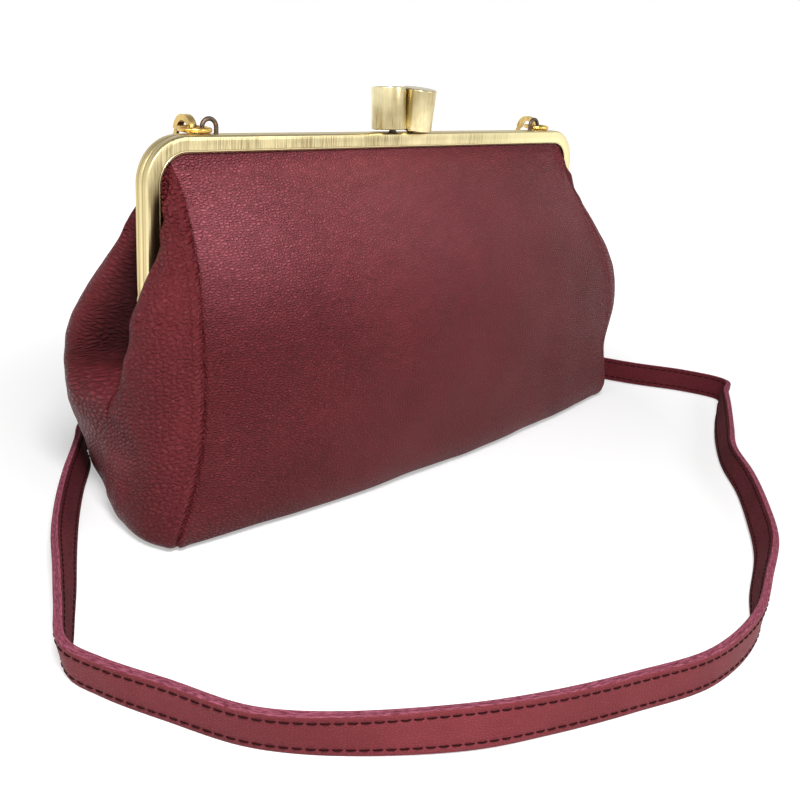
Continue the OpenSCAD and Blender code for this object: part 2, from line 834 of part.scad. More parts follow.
// The free strap, swept as one flat band along the route
module shoulder_strap() {
    rings = (len(route) - 1) * route_steps;
    sides = len(strap_outline);
    down = [0, sin(hook_tilt), -cos(hook_tilt)];
    path = [for (i = [0:rings]) route_smooth(i / rings)];
    function along(i) =
        i == 0 ? down
        : i == rings ? -down
        : unit(xyz(path[i + 1]) - xyz(path[i - 1]));
    points = [for (i = [0:rings])
        let (t = along(i), w0 = width_of(path[i]), w = unit(w0 - t * (w0 * t)), n = cross(t, w),
            lift = max(0, strap_w / 2 * abs(w[2]) + strap_t / 2 * abs(n[2]) - path[i][2]))
        for (q = strap_outline) xyz(path[i]) + [0, 0, lift] + w * q[0] + n * q[1]];
    faces = concat(
        [for (i = [0:rings - 1]) for (j = [0:sides - 1])
            let (a = i * sides + j, b = i * sides + (j + 1) % sides)
            each [[a, b, b + sides], [a, b + sides, a + sides]]],
        [[for (j = [0:sides - 1]) sides - 1 - j]],
        [[for (j = [0:sides - 1]) rings * sides + j]]);
    color("brown")
        polyhedron(points, [for (f = faces) [for (i = [len(f) - 1:-1:0]) f[i]]], convexity = 10);
}

// Front and rear leather, from the base up into the channel
module front_panel() {
    color("brown")
        wall(panel_grid(0, panel_rows - 1, -panel_side_share, panel_side_share,
            2 * panel_half_steps, false), 0, leather_t, 1);
}

module rear_panel() {
    color("brown")
        wall(panel_grid(0, panel_rows - 1, -panel_side_share, panel_side_share,
            2 * panel_half_steps, true), 0, leather_t, -1);
}

// Half of a side: the front half follows the front arm, the rear half the rear one
module gusset_half(rear) {
    color("maroon")
        wall(gusset_grid(0, gusset_rows - 1, rear), 0, leather_t, rear ? -1 : 1);
}

module gusset_right_front() {
    gusset_half(false);
}

module gusset_right_rear() {
    gusset_half(true);
}

module gusset_left_front() {
    mirror([1, 0, 0])
        gusset_half(false);
}

module gusset_left_rear() {
    mirror([1, 0, 0])
        gusset_half(true);
}

// Ring of points round the whole bag at one row, closed by repeating its first
function mirrored(list) = [for (p = list) [-p[0], p[1], p[2]]];
function gusset_run(k, rear, from, to, step) =
    [for (i = [from:step:to]) gusset_point(k, i / gusset_steps, rear)];
function panel_run(k, rear, from, to, step) =
    [for (i = [from:step:to]) panel_point(k, i / panel_half_steps, rear)];
function around(k) = concat(
    panel_run(k, false, -panel_half_steps, panel_half_steps - 1, 1),
    gusset_run(k, false, 0, gusset_steps - 1, 1),
    gusset_run(k, true, gusset_steps, 1, -1),
    panel_run(k, true, panel_half_steps, 1 - panel_half_steps, -1),
    mirrored(gusset_run(k, true, 0, gusset_steps - 1, 1)),
    mirrored(gusset_run(k, false, gusset_steps, 0, -1)));

// Draws a closed ring in, square to its own run
function ring_inset(list, depth) =
    let (n = len(list) - 1)
    [for (i = [0:n])
        let (a = list[i == 0 ? n - 1 : i - 1], b = list[i == n ? 1 : i + 1], t = unit(b - a))
        list[i] + [-t[1], t[0], 0] * depth];
function flat_ring(list) = [for (i = [0:len(list) - 2]) [list[i][0], list[i][1]]];

// Flat leather bottom that the bag stands on
module base_panel() {
    color("maroon")
        linear_extrude(leather_t)
            polygon(flat_ring(around(0)));
}

module base_board() {
    color("tan")
        translate([0, 0, wall_bottom])
            linear_extrude(base_board_t)
                offset(delta = -board_inset)
                    polygon(flat_ring(around(0)));
}

// Stiffening boards behind the leather, below the hinge
board_side_share = 0.9;
board_inset = 3 * leather_t;
board_top_row = 5;
board_in = leather_t + layer_gap;
board_out = board_in + wall_board_t;
lining_in = board_out + layer_gap;
lining_out = lining_in + lining_t;
module wall_board(rear) {
    color("tan")
        wall(panel_grid(2, board_top_row, -board_side_share, board_side_share,
            2 * panel_half_steps, rear), board_in, board_out, rear ? -1 : 1);
}

module front_board() {
    wall_board(false);
}

module rear_board() {
    wall_board(true);
}

// Lining: a closed sack below the hinge, and open flaps up to the mouth
sack_bottom = wall_bottom + base_board_t + layer_gap;
foot_in = 2.5 * leather_t;
module lining_body() {
    function sack_rows(inset, foot) = concat(
        [[for (p = ring_inset(around(1), inset + foot_in)) [p[0], p[1], foot]]],
        [for (k = [2:lower_rows - 1]) ring_inset(around(k), inset)]);
    color("rosybrown")
        sack(sack_rows(lining_in, sack_bottom), sack_rows(lining_out, sack_bottom + lining_t));
}

// Closed-bottomed wall between two stacks of rings
module sack(outer, inner) {
    rows = len(outer);
    n = len(outer[0]) - 1;
    count = rows * n;
    function points_of(list) = [for (r = list) for (c = [0:n - 1]) r[c]];
    function quad(a, b, c, d) = [[a, b, c], [a, c, d]];
    top = (rows - 1) * n;
    faces = concat(
        [for (r = [0:rows - 2]) for (c = [0:n - 1])
            let (a = r * n + c, b = r * n + (c + 1) % n)
            each quad(a, a + n, b + n, b)],
        [for (r = [0:rows - 2]) for (c = [0:n - 1])
            let (a = count + r * n + c, b = count + r * n + (c + 1) % n)
            each quad(a, b, b + n, a + n)],
        [for (c = [0:n - 1]) let (a = top + c, b = top + (c + 1) % n)
            each quad(a, a + count, b + count, b)],
        [[for (c = [0:n - 1]) c]],
        [[for (c = [n - 1:-1:0]) count + c]]);
    polyhedron(concat(points_of(outer), points_of(inner)), faces, convexity = 8);
}

lining_side_share = 0.96;
lining_top_row = gusset_rows - 2;
module lining_top(rear) {
    color("rosybrown")
        wall(panel_grid(lower_rows, lining_top_row, -lining_side_share, lining_side_share,
            2 * panel_half_steps, rear), leather_t + layer_gap, leather_t + layer_gap + lining_t,
            rear ? -1 : 1);
}

module lining_front_top() {
    lining_top(false);
}

module lining_rear_top() {
    lining_top(true);
}

// Open pocket sewn to the rear lining
pocket_side_share = 0.45;
module slip_pocket() {
    color("indianred")
        wall(panel_grid(2, board_top_row, -pocket_side_share, pocket_side_share,
            2 * panel_half_steps, true), lining_out + layer_gap,
            lining_out + layer_gap + lining_t, -1);
}

module rear_crimp_cord() {
    color("wheat")
        arch_sweep(hinge_z + lug_cut_r + lug_r)
            cord_section();
}

module front_crimp_cord() {
    color("wheat")
        mirror([0, 1, 0])
            arch_sweep(hinge_z + lug_cut_r + 2 * lug_r)
                cord_section();
}

front_frame();
rear_frame();
hinge_rivet_left();
hinge_rivet_right();
front_knob();
front_knob_stem();
rear_knob();
rear_knob_stem();
strap_loop_left();
strap_loop_right();
ring_left();
ring_right();
hook_left();
hook_right();
gate_left();
gate_right();
gate_pin_left();
gate_pin_right();
strap_eye_left();
strap_eye_right();
strap_end_left();
strap_end_right();
strap_rivet_left();
strap_rivet_right();
shoulder_strap();
front_panel();
rear_panel();
gusset_left_front();
gusset_left_rear();
gusset_right_front();
gusset_right_rear();
base_panel();
base_board();
front_board();
rear_board();
lining_body();
lining_front_top();
lining_rear_top();
slip_pocket();
front_crimp_cord();
rear_crimp_cord();
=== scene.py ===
import bisect
import bmesh
import bpy
import math
from mathutils import Matrix, Vector, noise


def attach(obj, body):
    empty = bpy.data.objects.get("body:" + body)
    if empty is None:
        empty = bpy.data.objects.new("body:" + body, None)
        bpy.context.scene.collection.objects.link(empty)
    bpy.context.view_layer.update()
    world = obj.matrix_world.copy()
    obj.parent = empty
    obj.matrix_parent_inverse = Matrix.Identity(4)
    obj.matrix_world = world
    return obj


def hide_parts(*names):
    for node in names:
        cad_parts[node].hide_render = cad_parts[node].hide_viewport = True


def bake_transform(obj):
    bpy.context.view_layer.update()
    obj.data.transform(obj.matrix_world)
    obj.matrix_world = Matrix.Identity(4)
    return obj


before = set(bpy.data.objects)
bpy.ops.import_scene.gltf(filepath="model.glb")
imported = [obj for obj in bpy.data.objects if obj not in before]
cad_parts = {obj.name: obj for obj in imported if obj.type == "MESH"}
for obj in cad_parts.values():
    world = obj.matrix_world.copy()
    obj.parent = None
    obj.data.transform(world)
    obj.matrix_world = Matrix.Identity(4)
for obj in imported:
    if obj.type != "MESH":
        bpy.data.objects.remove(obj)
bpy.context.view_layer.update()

# The view. The camera stands to the left of the bag's front and a little above it,
# turned very slightly, so that the bag's left side and front both show.
heading, pitch, roll = math.radians(48.49), math.radians(19.53), math.radians(4.4)
camera_spot = (-0.3164, -0.2907, 0.1701)
look = Vector((math.sin(heading) * math.cos(pitch), math.cos(heading) * math.cos(pitch), -math.sin(pitch)))
level = Vector((math.cos(heading), -math.sin(heading), 0))
above = level.cross(look)
camera_x = level * math.cos(roll) + above * math.sin(roll)
camera_y = above * math.cos(roll) - level * math.sin(roll)
camera_data = bpy.data.cameras.new("camera")
camera_data.sensor_width = 36
camera_data.lens = 43.38
camera_data.clip_start = 0.01
camera = bpy.data.objects.new("camera", camera_data)
camera_turn = Matrix((camera_x, camera_y, -look)).transposed().to_4x4()
camera.matrix_world = Matrix.Translation(camera_spot) @ camera_turn
bpy.context.scene.collection.objects.link(camera)
bpy.context.scene.camera = camera


# The studio: a white sweep of floor, a white room that metal shows, and three soft
# lamps, the nearest one over the bag's left front.
def node(tree, kind, put=None, **settings):
    made = tree.nodes.new(kind)
    for name, value in settings.items():
        setattr(made, name, value)
    for name, value in (put or {}).items():
        socket = made.inputs[name]
        if isinstance(value, bpy.types.NodeSocket):
            tree.links.new(value, socket)
        else:
            socket.default_value = value
    return made


def maths(tree, operation, *values, **settings):
    return node(tree, "ShaderNodeMath", dict(enumerate(values)), operation=operation, **settings).outputs[0]


def ranged(tree, value, low, high, to_low=0.0, to_high=1.0, **settings):
    limits = {"Value": value, "From Min": low, "From Max": high, "To Min": to_low, "To Max": to_high}
    return node(tree, "ShaderNodeMapRange", limits, **settings).outputs["Result"]


def new_material(name, **settings):
    made = bpy.data.materials.new(name)
    made.use_nodes = True
    tree = made.node_tree
    tree.nodes.clear()
    shader = node(tree, "ShaderNodeBsdfPrincipled")
    for label, value in settings.items():
        shader.inputs[label.replace("_", " ")].default_value = value
    out = node(tree, "ShaderNodeOutputMaterial")
    tree.links.new(shader.outputs["BSDF"], out.inputs["Surface"])
    return made, tree, shader


def new_piece(name, bm, *materials, smooth=True):
    mesh = bpy.data.meshes.new(name)
    bm.to_mesh(mesh)
    bm.free()
    for material in materials:
        mesh.materials.append(material)
    for face in mesh.polygons:
        face.use_smooth = smooth
    piece = bpy.data.objects.new(name, mesh)
    bpy.context.scene.collection.objects.link(piece)
    return piece


def lamp(name, place, aim, size, power):
    data = bpy.data.lights.new(name, "AREA")
    data.shape = "DISK"
    data.size = size
    data.energy = power
    made = bpy.data.objects.new(name, data)
    turn = (Vector(aim) - Vector(place)).to_track_quat("-Z", "Y").to_matrix().to_4x4()
    made.matrix_world = Matrix.Translation(place) @ turn
    bpy.context.scene.collection.objects.link(made)


def plain_sight(tree):
    rays = node(tree, "ShaderNodeLightPath").outputs
    straight = maths(tree, "MAXIMUM", rays["Is Camera Ray"], rays["Is Glossy Ray"])
    return maths(tree, "MAXIMUM", straight, rays["Is Transmission Ray"])


bpy.context.scene.view_settings.view_transform = "Standard"
room = bpy.data.worlds.new("white_room")
bpy.context.scene.world = room
room.use_nodes = True
room_tree = room.node_tree
room_tree.nodes.clear()
room_light, room_seen = 0.24, 1.0
room_strength = ranged(room_tree, plain_sight(room_tree), 0.0, 1.0, room_light, room_seen)
room_way = node(room_tree, "ShaderNodeTexCoord")
room_up = node(room_tree, "ShaderNodeSeparateXYZ", {"Vector": room_way.outputs["Generated"]})
ceiling = ranged(room_tree, room_up.outputs["Z"], 0.42, 0.8, 1.0, 0.3)
sky = node(room_tree, "ShaderNodeBackground", {"Color": ceiling, "Strength": room_strength})
node(room_tree, "ShaderNodeOutputWorld", {"Surface": sky.outputs["Background"]})

lamp("top_lamp", (-0.30, -0.36, 0.54), (-0.08, 0, 0.1), 0.22, 4.6)
lamp("left_lamp", (-0.95, -0.25, 0.75), (0, 0, 0.07), 0.5, 2.2)
lamp("right_lamp", (0.45, -0.90, 0.62), (0, 0, 0.07), 0.5, 3.1)

# White paper floor. Close to the bag it keeps the shadow, further off it fades to
# plain white, so no horizon shows.
paper_white = (0.58, 0.58, 0.58, 1)
floor_paint, floor_tree, floor_shader = new_material("floor_white", Base_Color=paper_white, Roughness=0.9)
floor_shader.inputs["Specular IOR Level"].default_value = 0.0
floor_shader.inputs["Emission Color"].default_value = (1, 1, 1, 1)
floor_where = node(floor_tree, "ShaderNodeTexCoord")
floor_reach = node(floor_tree, "ShaderNodeVectorMath", {0: floor_where.outputs["Object"]}, operation="LENGTH")
shadow_ends, white_starts = 0.15, 0.35
floor_fade = ranged(floor_tree, floor_reach.outputs["Value"], shadow_ends, white_starts, 0.40, 1.0)
floor_glow = maths(floor_tree, "MULTIPLY", plain_sight(floor_tree), floor_fade)
floor_tree.links.new(floor_glow, floor_shader.inputs["Emission Strength"])
floor_bm = bmesh.new()
bmesh.ops.create_grid(floor_bm, x_segments=1, y_segments=1, size=4.0)
floor = new_piece("floor", floor_bm, floor_paint, smooth=False)


# The shoulder strap: one long band of two leather layers, glued back to back and
# sewn along both edges. Its cut edges are raw, so they are paler and show the layers.
# Each point is a place in millimetres, then the way that the band's width lies there.
strap_route = [
    (-104.98, 29.05, 97.01, -1, 0, 0), (-105, 36, 83, -1, 0, 0), (-105, 47, 60, -1, 0, 0),
    (-106, 58, 36, -1, 0.1, 0), (-107, 66, 17, -1, 0.2, 0), (-110, 69, 5, -0.9, 0.4, 0.1),
    (-115.5, 64.5, 2.6, -0.4, 0.25, 0.88), (-124.6, 56, 3.4, -0.1, 0.05, 0.99),
    (-132.6, 42, 0, -0.34, 0.2, 0.92), (-147.1, 22.6, 0, -0.36, 0.24, 0.9), (-160.8, 2.6, 0, -0.41, 0.26, 0.88),
    (-173.8, -18.6, 0, -0.44, 0.25, 0.86), (-185.5, -40, 0, -0.34, 0.19, 0.92),
    (-196.7, -59.9, 0, -0.23, 0.12, 0.97), (-205.6, -77.2, 0, -0.16, 0.03, 0.99),
    (-203.2, -92.2, 0, -0.1, -0.03, 0.99), (-195.8, -111.4, 0, -0.03, -0.01, 1),
    (-186.3, -134.1, 0, -0.08, -0.05, 1), (-169.3, -152.7, 0, 0.03, 0.03, 1), (-145.8, -170.7, 0, 0.13, 0.2, 0.97),
    (-123.8, -182.5, 0, 0.05, 0.11, 0.99), (-97.7, -193.5, 0, 0.02, 0.06, 1), (-69.3, -203, 0, 0.01, 0.04, 1),
    (-38.3, -202.3, 0, 0, -0.01, 1), (-10.2, -192.4, 0, 0.11, -0.31, 0.95), (18.3, -182, 0, 0.18, -0.38, 0.91),
    (44.1, -167.4, 0, 0.19, -0.31, 0.93), (69, -151, 0, 0.16, -0.22, 0.96), (91.8, -133, 0, 0.13, -0.19, 0.97),
    (117.2, -118.9, 0, 0.2, -0.38, 0.9), (142.5, -106.2, 0, 0.17, -0.34, 0.93),
    (165.3, -95.1, 0, 0.07, -0.13, 0.99),
    (182.2, -86.3, 0, 0.23, -0.1, 0.97), (178.4, -65, 0, 0.26, 0.1, 0.96), (164.5, -39, 0, 0.25, 0.11, 0.96),
    (154.2, -10.1, 0, 0.2, 0.05, 0.98), (148.7, 19.3, 0, 0.3, 0.08, 0.95), (140.7, 44.1, 0, 0.47, 0.27, 0.84),
    (127, 57, 3.4, 0.8, 0.5, 0.4), (117, 65, 2.6, 0.85, 0.5, 0.2), (110, 69, 5, 0.9, 0.4, 0.1),
    (107, 66, 17, 1, 0.2, 0), (106, 58, 36, 1, 0.1, 0), (105, 47, 60, 1, 0, 0),
    (105, 36, 83, 1, 0, 0), (104.98, 29.05, 97.01, 1, 0, 0)]
strap_wide, strap_thick = 0.012, 0.003
stitch_pitch, stitch_line = 0.0034, 0.0040
strap_slope = math.radians(26)


def smooth_at(points, share):
    last = len(points) - 1
    place = min(max(share, 0.0), 1.0) * last
    i = min(int(place), last - 1)
    f = place - i
    four = points[max(i - 1, 0)], points[i], points[i + 1], points[min(i + 2, last)]
    return [
        0.5 * (2 * b + (c - a) * f + (2 * a - 5 * b + 4 * c - d) * f * f + (3 * b - a - 3 * c + d) * f * f * f)
        for a, b, c, d in zip(*four)]


def lay_grid(columns, rows, place, unroll, marks=None, slot=None):
    bm = bmesh.new()
    bmesh.ops.create_grid(bm, x_segments=columns, y_segments=rows, size=0.5)
    spread = bm.loops.layers.uv.new("spread")
    mark = bm.loops.layers.uv.new("marks") if marks else None
    for face in bm.faces:
        for loop in face.loops:
            u, v = loop.vert.co.x + 0.5, loop.vert.co.y + 0.5
            loop[spread].uv = unroll(u, v)
            if marks:
                loop[mark].uv = marks(u, v)
        if slot:
            middle = face.calc_center_median()
            face.material_index = slot(middle.x + 0.5, middle.y + 0.5)
    for vert in bm.verts:
        vert.co = place(vert.co.x + 0.5, vert.co.y + 0.5)
    return bm


def band_frames(route, steps, wide, thick, first=None, last=None):
    rings = (len(route) - 1) * steps
    raw = [smooth_at(route, i / rings) for i in range(rings + 1)]
    made = []
    for i, point in enumerate(raw):
        here = Vector(point[:3]) / 1000
        if i == 0 and first is not None:
            along = first
        elif i == rings and last is not None:
            along = last
        else:
            along = (Vector(raw[min(i + 1, rings)][:3]) - Vector(raw[max(i - 1, 0)][:3])).normalized()
        across = Vector(point[3:])
        across = (across - along * along.dot(across)).normalized()
        out = along.cross(across)
        lift = max(0.0, wide / 2 * abs(across.z) + thick / 2 * abs(out.z) - here.z)
        made.append((here + Vector((0, 0, lift)), along, across, out))
    return made


def band_section(wide, thick, rows):
    half, deep = wide / 2, thick / 2
    groove_wide, groove_deep, round_off = 0.0008, 0.00016, 0.14
    shares = (0, 0.25, 0.5, 0.61, 0.67, 0.73, 0.8, 0.88, 0.96)
    face = []
    for share in [-part for part in shares[:0:-1]] + list(shares):
        dip = max([0.0] + [1 - abs(share * half - row) / groove_wide for row in rows])
        face.append((share * half, deep * (1 - round_off * abs(share) ** 6) - groove_deep * dip))
    edge = [(half, deep * 0.72), (half * 1.015, deep * 0.3), (half * 0.9, 0.0)]
    edge += [(x, -y) for x, y in edge[1::-1]]
    return face[::-1] + [(-x, y) for x, y in edge] + [(-x, -y) for x, y in face[::-1]] + [(x, -y) for x, y in edge]


def sweep_band(frames, section, faces_across, inner=0):
    rings = len(frames) - 1
    count = len(section)
    dent_wide, dent_deep = 0.0036, 0.0003
    around, run = [0.0], [0.0]
    for i in range(count):
        around.append(around[-1] + (Vector(section[(i + 1) % count]) - Vector(section[i])).length)
    for a, b in zip(frames, frames[1:]):
        run.append(run[-1] + (b[0] - a[0]).length)

    def place(u, v):
        here, along, across, out = frames[round(v * rings)]
        x, y = section[round(u * count) % count]
        wear_and_highlight = noise.noise(Vector((x * 130, run[round(v * rings)] * 190, y * 900)))
        dent = dent_deep * max(0.0, 1 - (x / dent_wide) ** 2) * wear_and_highlight
        return here + across * x + out * (y + dent)

    def raw(u, v):
        if int(u * count) % (count // 2) >= faces_across - 1:
            return 1
        return 0 if u < 0.5 else inner

    def unroll(u, v):
        return run[round(v * rings)], around[round(u * count)]

    bm = lay_grid(count, rings, place, unroll, lambda u, v: (0.5, 0.5), raw)
    bmesh.ops.remove_doubles(bm, verts=bm.verts, dist=1e-7)
    bmesh.ops.holes_fill(bm, edges=[e for e in bm.edges if e.is_boundary], sides=0)
    bmesh.ops.recalc_face_normals(bm, faces=bm.faces)
    return bm, run


def join_meshes(first, second, merge=2e-5):
    scratch = bpy.data.meshes.new("scratch")
    second.to_mesh(scratch)
    second.free()
    first.from_mesh(scratch)
    bpy.data.meshes.remove(scratch)
    if merge:
        bmesh.ops.remove_doubles(first, verts=first.verts, dist=merge)


# One row of running stitches is one thread that comes up, lies along the strap and
# goes down again, stitch after stitch.
def sew_row(frames, run, row, side, deep, pitch, slot):
    count = int(run[-1] / pitch) - 1
    beats = (0.0, 0.12, 0.26, 0.5, 0.74, 0.88)
    lifts = (-1.7, -0.2, 0.9, 1.1, 0.9, -0.2)
    half_wide, half_tall, lift_unit = 0.00025, 0.00022, 0.00024
    rings = count * len(beats)

    def place(u, v):
        i = round(v * rings)
        stitch, beat = divmod(i, len(beats))
        done = (stitch + 0.6 + beats[beat]) * pitch
        k = min(bisect.bisect_right(run, done) - 1, len(frames) - 2)
        f = (done - run[k]) / max(run[k + 1] - run[k], 1e-9)
        here, along, across, out = (a.lerp(b, f) for a, b in zip(frames[k], frames[k + 1]))
        turn = 2 * math.pi * u
        lift = deep - half_tall + lifts[beat] * lift_unit
        sideways, up = row + half_wide * math.cos(turn), lift + half_tall * math.sin(turn)
        return here + across * sideways + out * side * up

    bm = lay_grid(6, rings, place, lambda u, v: (u * 0.0018, v * run[-1]), slot=lambda u, v: slot)
    bmesh.ops.remove_doubles(bm, verts=bm.verts, dist=1e-7)
    bmesh.ops.recalc_face_normals(bm, faces=bm.faces)
    return bm


strap_down = Vector((0, math.sin(strap_slope), -math.cos(strap_slope)))
strap_frames = band_frames(strap_route, 10, strap_wide, strap_thick, strap_down, -strap_down)
strap_rows = (stitch_line, -stitch_line)
strap_bm, strap_run = sweep_band(strap_frames, band_section(strap_wide, strap_thick, strap_rows), 17, inner=3)
for row in strap_rows:
    for side in (1, -1):
        sewn = sew_row(strap_frames, strap_run, row, side, strap_thick / 2, stitch_pitch, 2)
        join_meshes(strap_bm, sewn, merge=0)


# Leather grain, used by every leather here: raised pebbles between fine creases,
# small cracks across the pebbles, pores, and a slow cloudiness. "Strong" is where
# the leather was bent, so that its pebbles stand higher.
def new_group(name, takes, gives):
    made = bpy.data.node_groups.new(name, "ShaderNodeTree")
    for label, kind, value in takes:
        socket = made.interface.new_socket(label, in_out="INPUT", socket_type=kind)
        if value is not None:
            socket.default_value = value
    for label in gives:
        made.interface.new_socket(label, in_out="OUTPUT", socket_type="NodeSocketFloat")
    return made, node(made, "NodeGroupInput").outputs


def vectors(tree, operation, first, second):
    return node(tree, "ShaderNodeVectorMath", {0: first, 1: second}, operation=operation).outputs[0]


def cloudy(tree, place, scale, detail, roughness=0.5):
    grown = {"Vector": place, "Scale": scale, "Detail": detail, "Roughness": roughness}
    return node(tree, "ShaderNodeTexNoise", grown).outputs


def from_edge(tree, place, scale, randomness):
    cells = {"Vector": place, "Scale": scale, "Randomness": randomness}
    made = node(tree, "ShaderNodeTexVoronoi", cells, feature="DISTANCE_TO_EDGE", voronoi_dimensions="2D")
    return made.outputs["Distance"]


def tinted(tree, share, first, second):
    first, second = ((*c, 1) if isinstance(c, tuple) else c for c in (first, second))
    return node(tree, "ShaderNodeMix", {"Factor": share, "A": first, "B": second}, data_type="RGBA").outputs[2]


def wire(tree, shader, **sources):
    for label, source in sources.items():
        tree.links.new(source, shader.inputs[label.replace("_", " ")])


def bumped(tree, height, depth, strength=1.0):
    relief = {"Strength": strength, "Distance": depth, "Height": height}
    return node(tree, "ShaderNodeBump", relief).outputs["Normal"]


grain, given = new_group("leather_grain", (
    ("Place", "NodeSocketVector", None), ("Long", "NodeSocketFloat", 0.0013), ("Tall", "NodeSocketFloat", 0.0008),
    ("Softness", "NodeSocketFloat", 0.35), ("Strong", "NodeSocketFloat", 0.5)), ("Height", "Crease", "Cloud"))
wander = vectors(grain, "SUBTRACT", cloudy(grain, given["Place"], 330.0, 2.0)["Color"], (0.5, 0.5, 0.5))
wander_by = vectors(grain, "MULTIPLY", wander, (0.0011, 0.0011, 0.0011))
wandered = vectors(grain, "ADD", given["Place"], wander_by)
cell_size = node(grain, "ShaderNodeCombineXYZ", {"X": given["Long"], "Y": given["Tall"], "Z": 1.0})
in_cells = vectors(grain, "DIVIDE", wandered, cell_size.outputs[0])
edge = from_edge(grain, in_cells, 1.0, 0.85)
raised = ranged(grain, edge, 0.0, given["Softness"], interpolation_type="SMOOTHSTEP")
cracked = ranged(grain, from_edge(grain, in_cells, 2.6, 1.0), 0.0, 0.22)
cloud = cloudy(grain, given["Place"], 30.0, 4.0, 0.55)["Fac"]
patch = ranged(grain, cloudy(grain, in_cells, 0.16, 2.0)["Fac"], 0.3, 0.7, 0.75, 1.15)
pebbled = maths(grain, "MULTIPLY", raised, patch)
strong = maths(grain, "MULTIPLY", pebbled, given["Strong"])
with_cracks = maths(grain, "MULTIPLY_ADD", cracked, 0.14, strong)
with_pores = maths(grain, "MULTIPLY_ADD", cloudy(grain, in_cells, 4.5, 3.0)["Fac"], 0.26, with_cracks)
hollow = maths(grain, "SUBTRACT", 1.0, raised)
crease = maths(grain, "MULTIPLY", hollow, given["Strong"], use_clamp=True)
node(grain, "NodeGroupOutput", {"Height": with_pores, "Crease": crease, "Cloud": cloud})


# A leather's UV map "marks" says where the grain is strong (x), and where the colour is
# painted lighter (y over 0.5, towards the lit colour) and darker (y under 0.5, towards a
# deep crease tone). Each piece's marks tell which of these are painted highlight and
# painted shade. The grain's creases are painted darker too, as painted shade.
def leather(name, dark, light, crease_shade, lit=None, long=0.0016, tall=0.001, softness=0.42,
            strong=(0.35, 1.0), depth=0.0003, rough=0.38, gloss=0.22):
    made, tree, shader = new_material(name)
    spread = node(tree, "ShaderNodeUVMap", uv_map="spread").outputs[0]
    marked = node(tree, "ShaderNodeUVMap", uv_map="marks").outputs[0]
    mark = node(tree, "ShaderNodeSeparateXYZ", {"Vector": marked}).outputs
    sizes = {"Place": spread, "Long": long, "Tall": tall, "Softness": softness,
             "Strong": ranged(tree, mark["X"], 0.0, 1.0, *strong)}
    texture = node(tree, "ShaderNodeGroup", sizes, node_tree=grain).outputs
    tone = tinted(tree, ranged(tree, texture["Cloud"], 0.35, 0.65), dark, light)
    # Painted light and shade: y over 0.5 mixes in the lit colour, y under 0.5 a dark crease tone.
    painted_lighter = ranged(tree, mark["Y"], 0.5, 1.0)
    painted_darker = ranged(tree, mark["Y"], 0.5, 0.0)
    wear_and_highlight = tinted(tree, painted_lighter, tone, lit or light)
    lit_and_shaded_tone = tinted(tree, painted_darker, wear_and_highlight, tuple(0.4 * c for c in crease_shade))
    # Painted shade: the grain's creases take the darker crease colour.
    shade = maths(tree, "MULTIPLY", texture["Crease"], 0.5)
    matt = ranged(tree, texture["Crease"], 0.0, 1.0, rough, rough + 0.3)
    wire(tree, shader, Base_Color=tinted(tree, shade, lit_and_shaded_tone, crease_shade),
         Roughness=maths(tree, "MULTIPLY_ADD", painted_darker, 0.45, matt, use_clamp=True),
         Normal=bumped(tree, texture["Height"], depth))
    shader.inputs["Specular IOR Level"].default_value = gloss
    shader.inputs["Specular Tint"].default_value = (1.0, 0.62, 0.66, 1)
    return made


strap_face = leather(
    "strap_leather", (0.185, 0.030, 0.036), (0.235, 0.042, 0.050), (0.12, 0.02, 0.026),
    long=0.001, tall=0.0007, softness=0.5, strong=(0.4, 1.0), depth=0.00014, rough=0.46)
# The strap's back face is a darker leather, darker still as painted shade for the inside of the loop.
strap_inner_shaded = leather(
    "strap_inner_leather", (0.12, 0.018, 0.024), (0.17, 0.028, 0.038), (0.05, 0.004, 0.006),
    long=0.0028, tall=0.0004, softness=0.6, strong=(0.7, 1.2), depth=0.0004, rough=0.7)


def ramped(tree, share, stops):
    made = node(tree, "ShaderNodeValToRGB", {"Fac": share})
    for k, (at, shade) in enumerate(stops):
        element = made.color_ramp.elements[k] if k < 2 else made.color_ramp.elements.new(at)
        element.position, element.color = at, (*shade, 1)
    return made.outputs["Color"]


# Raw cut edge: pale pink fibres that run along the strap.
raw_edge, raw_tree, raw_shader = new_material("strap_raw_edge", Roughness=0.8)
raw_where = node(raw_tree, "ShaderNodeTexCoord")
raw_place = node(raw_tree, "ShaderNodeMapping", {"Vector": raw_where.outputs["UV"], "Scale": (420, 3000, 1)})
fibres = cloudy(raw_tree, raw_place.outputs["Vector"], 1.0, 6.0, 0.65)["Fac"]
fibre_tone = ramped(raw_tree, fibres, ((0.4, (0.13, 0.022, 0.036)), (0.62, (0.40, 0.115, 0.17))))
wire(raw_tree, raw_shader, Base_Color=fibre_tone, Normal=bumped(raw_tree, fibres, 0.0004))
raw_shader.inputs["Specular IOR Level"].default_value = 0.1

# Dark polyester sewing thread.
thread, thread_tree, thread_shader = new_material("sewing_thread", Roughness=0.85)
thread_shader.inputs["Specular IOR Level"].default_value = 0.08
thread_where = node(thread_tree, "ShaderNodeTexCoord")
twisted = {"Vector": thread_where.outputs["Object"], "Scale": 900.0, "Distortion": 2.0}
twist = node(thread_tree, "ShaderNodeTexWave", twisted).outputs["Fac"]
thread_tone = tinted(thread_tree, twist, (0.010, 0.0015, 0.002), (0.035, 0.006, 0.008))
wire(thread_tree, thread_shader, Base_Color=thread_tone)

strap = new_piece("shoulder_strap_band", strap_bm, strap_face, raw_edge, thread, strap_inner_shaded)
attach(strap, "bag")
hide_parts("shoulder_strap")


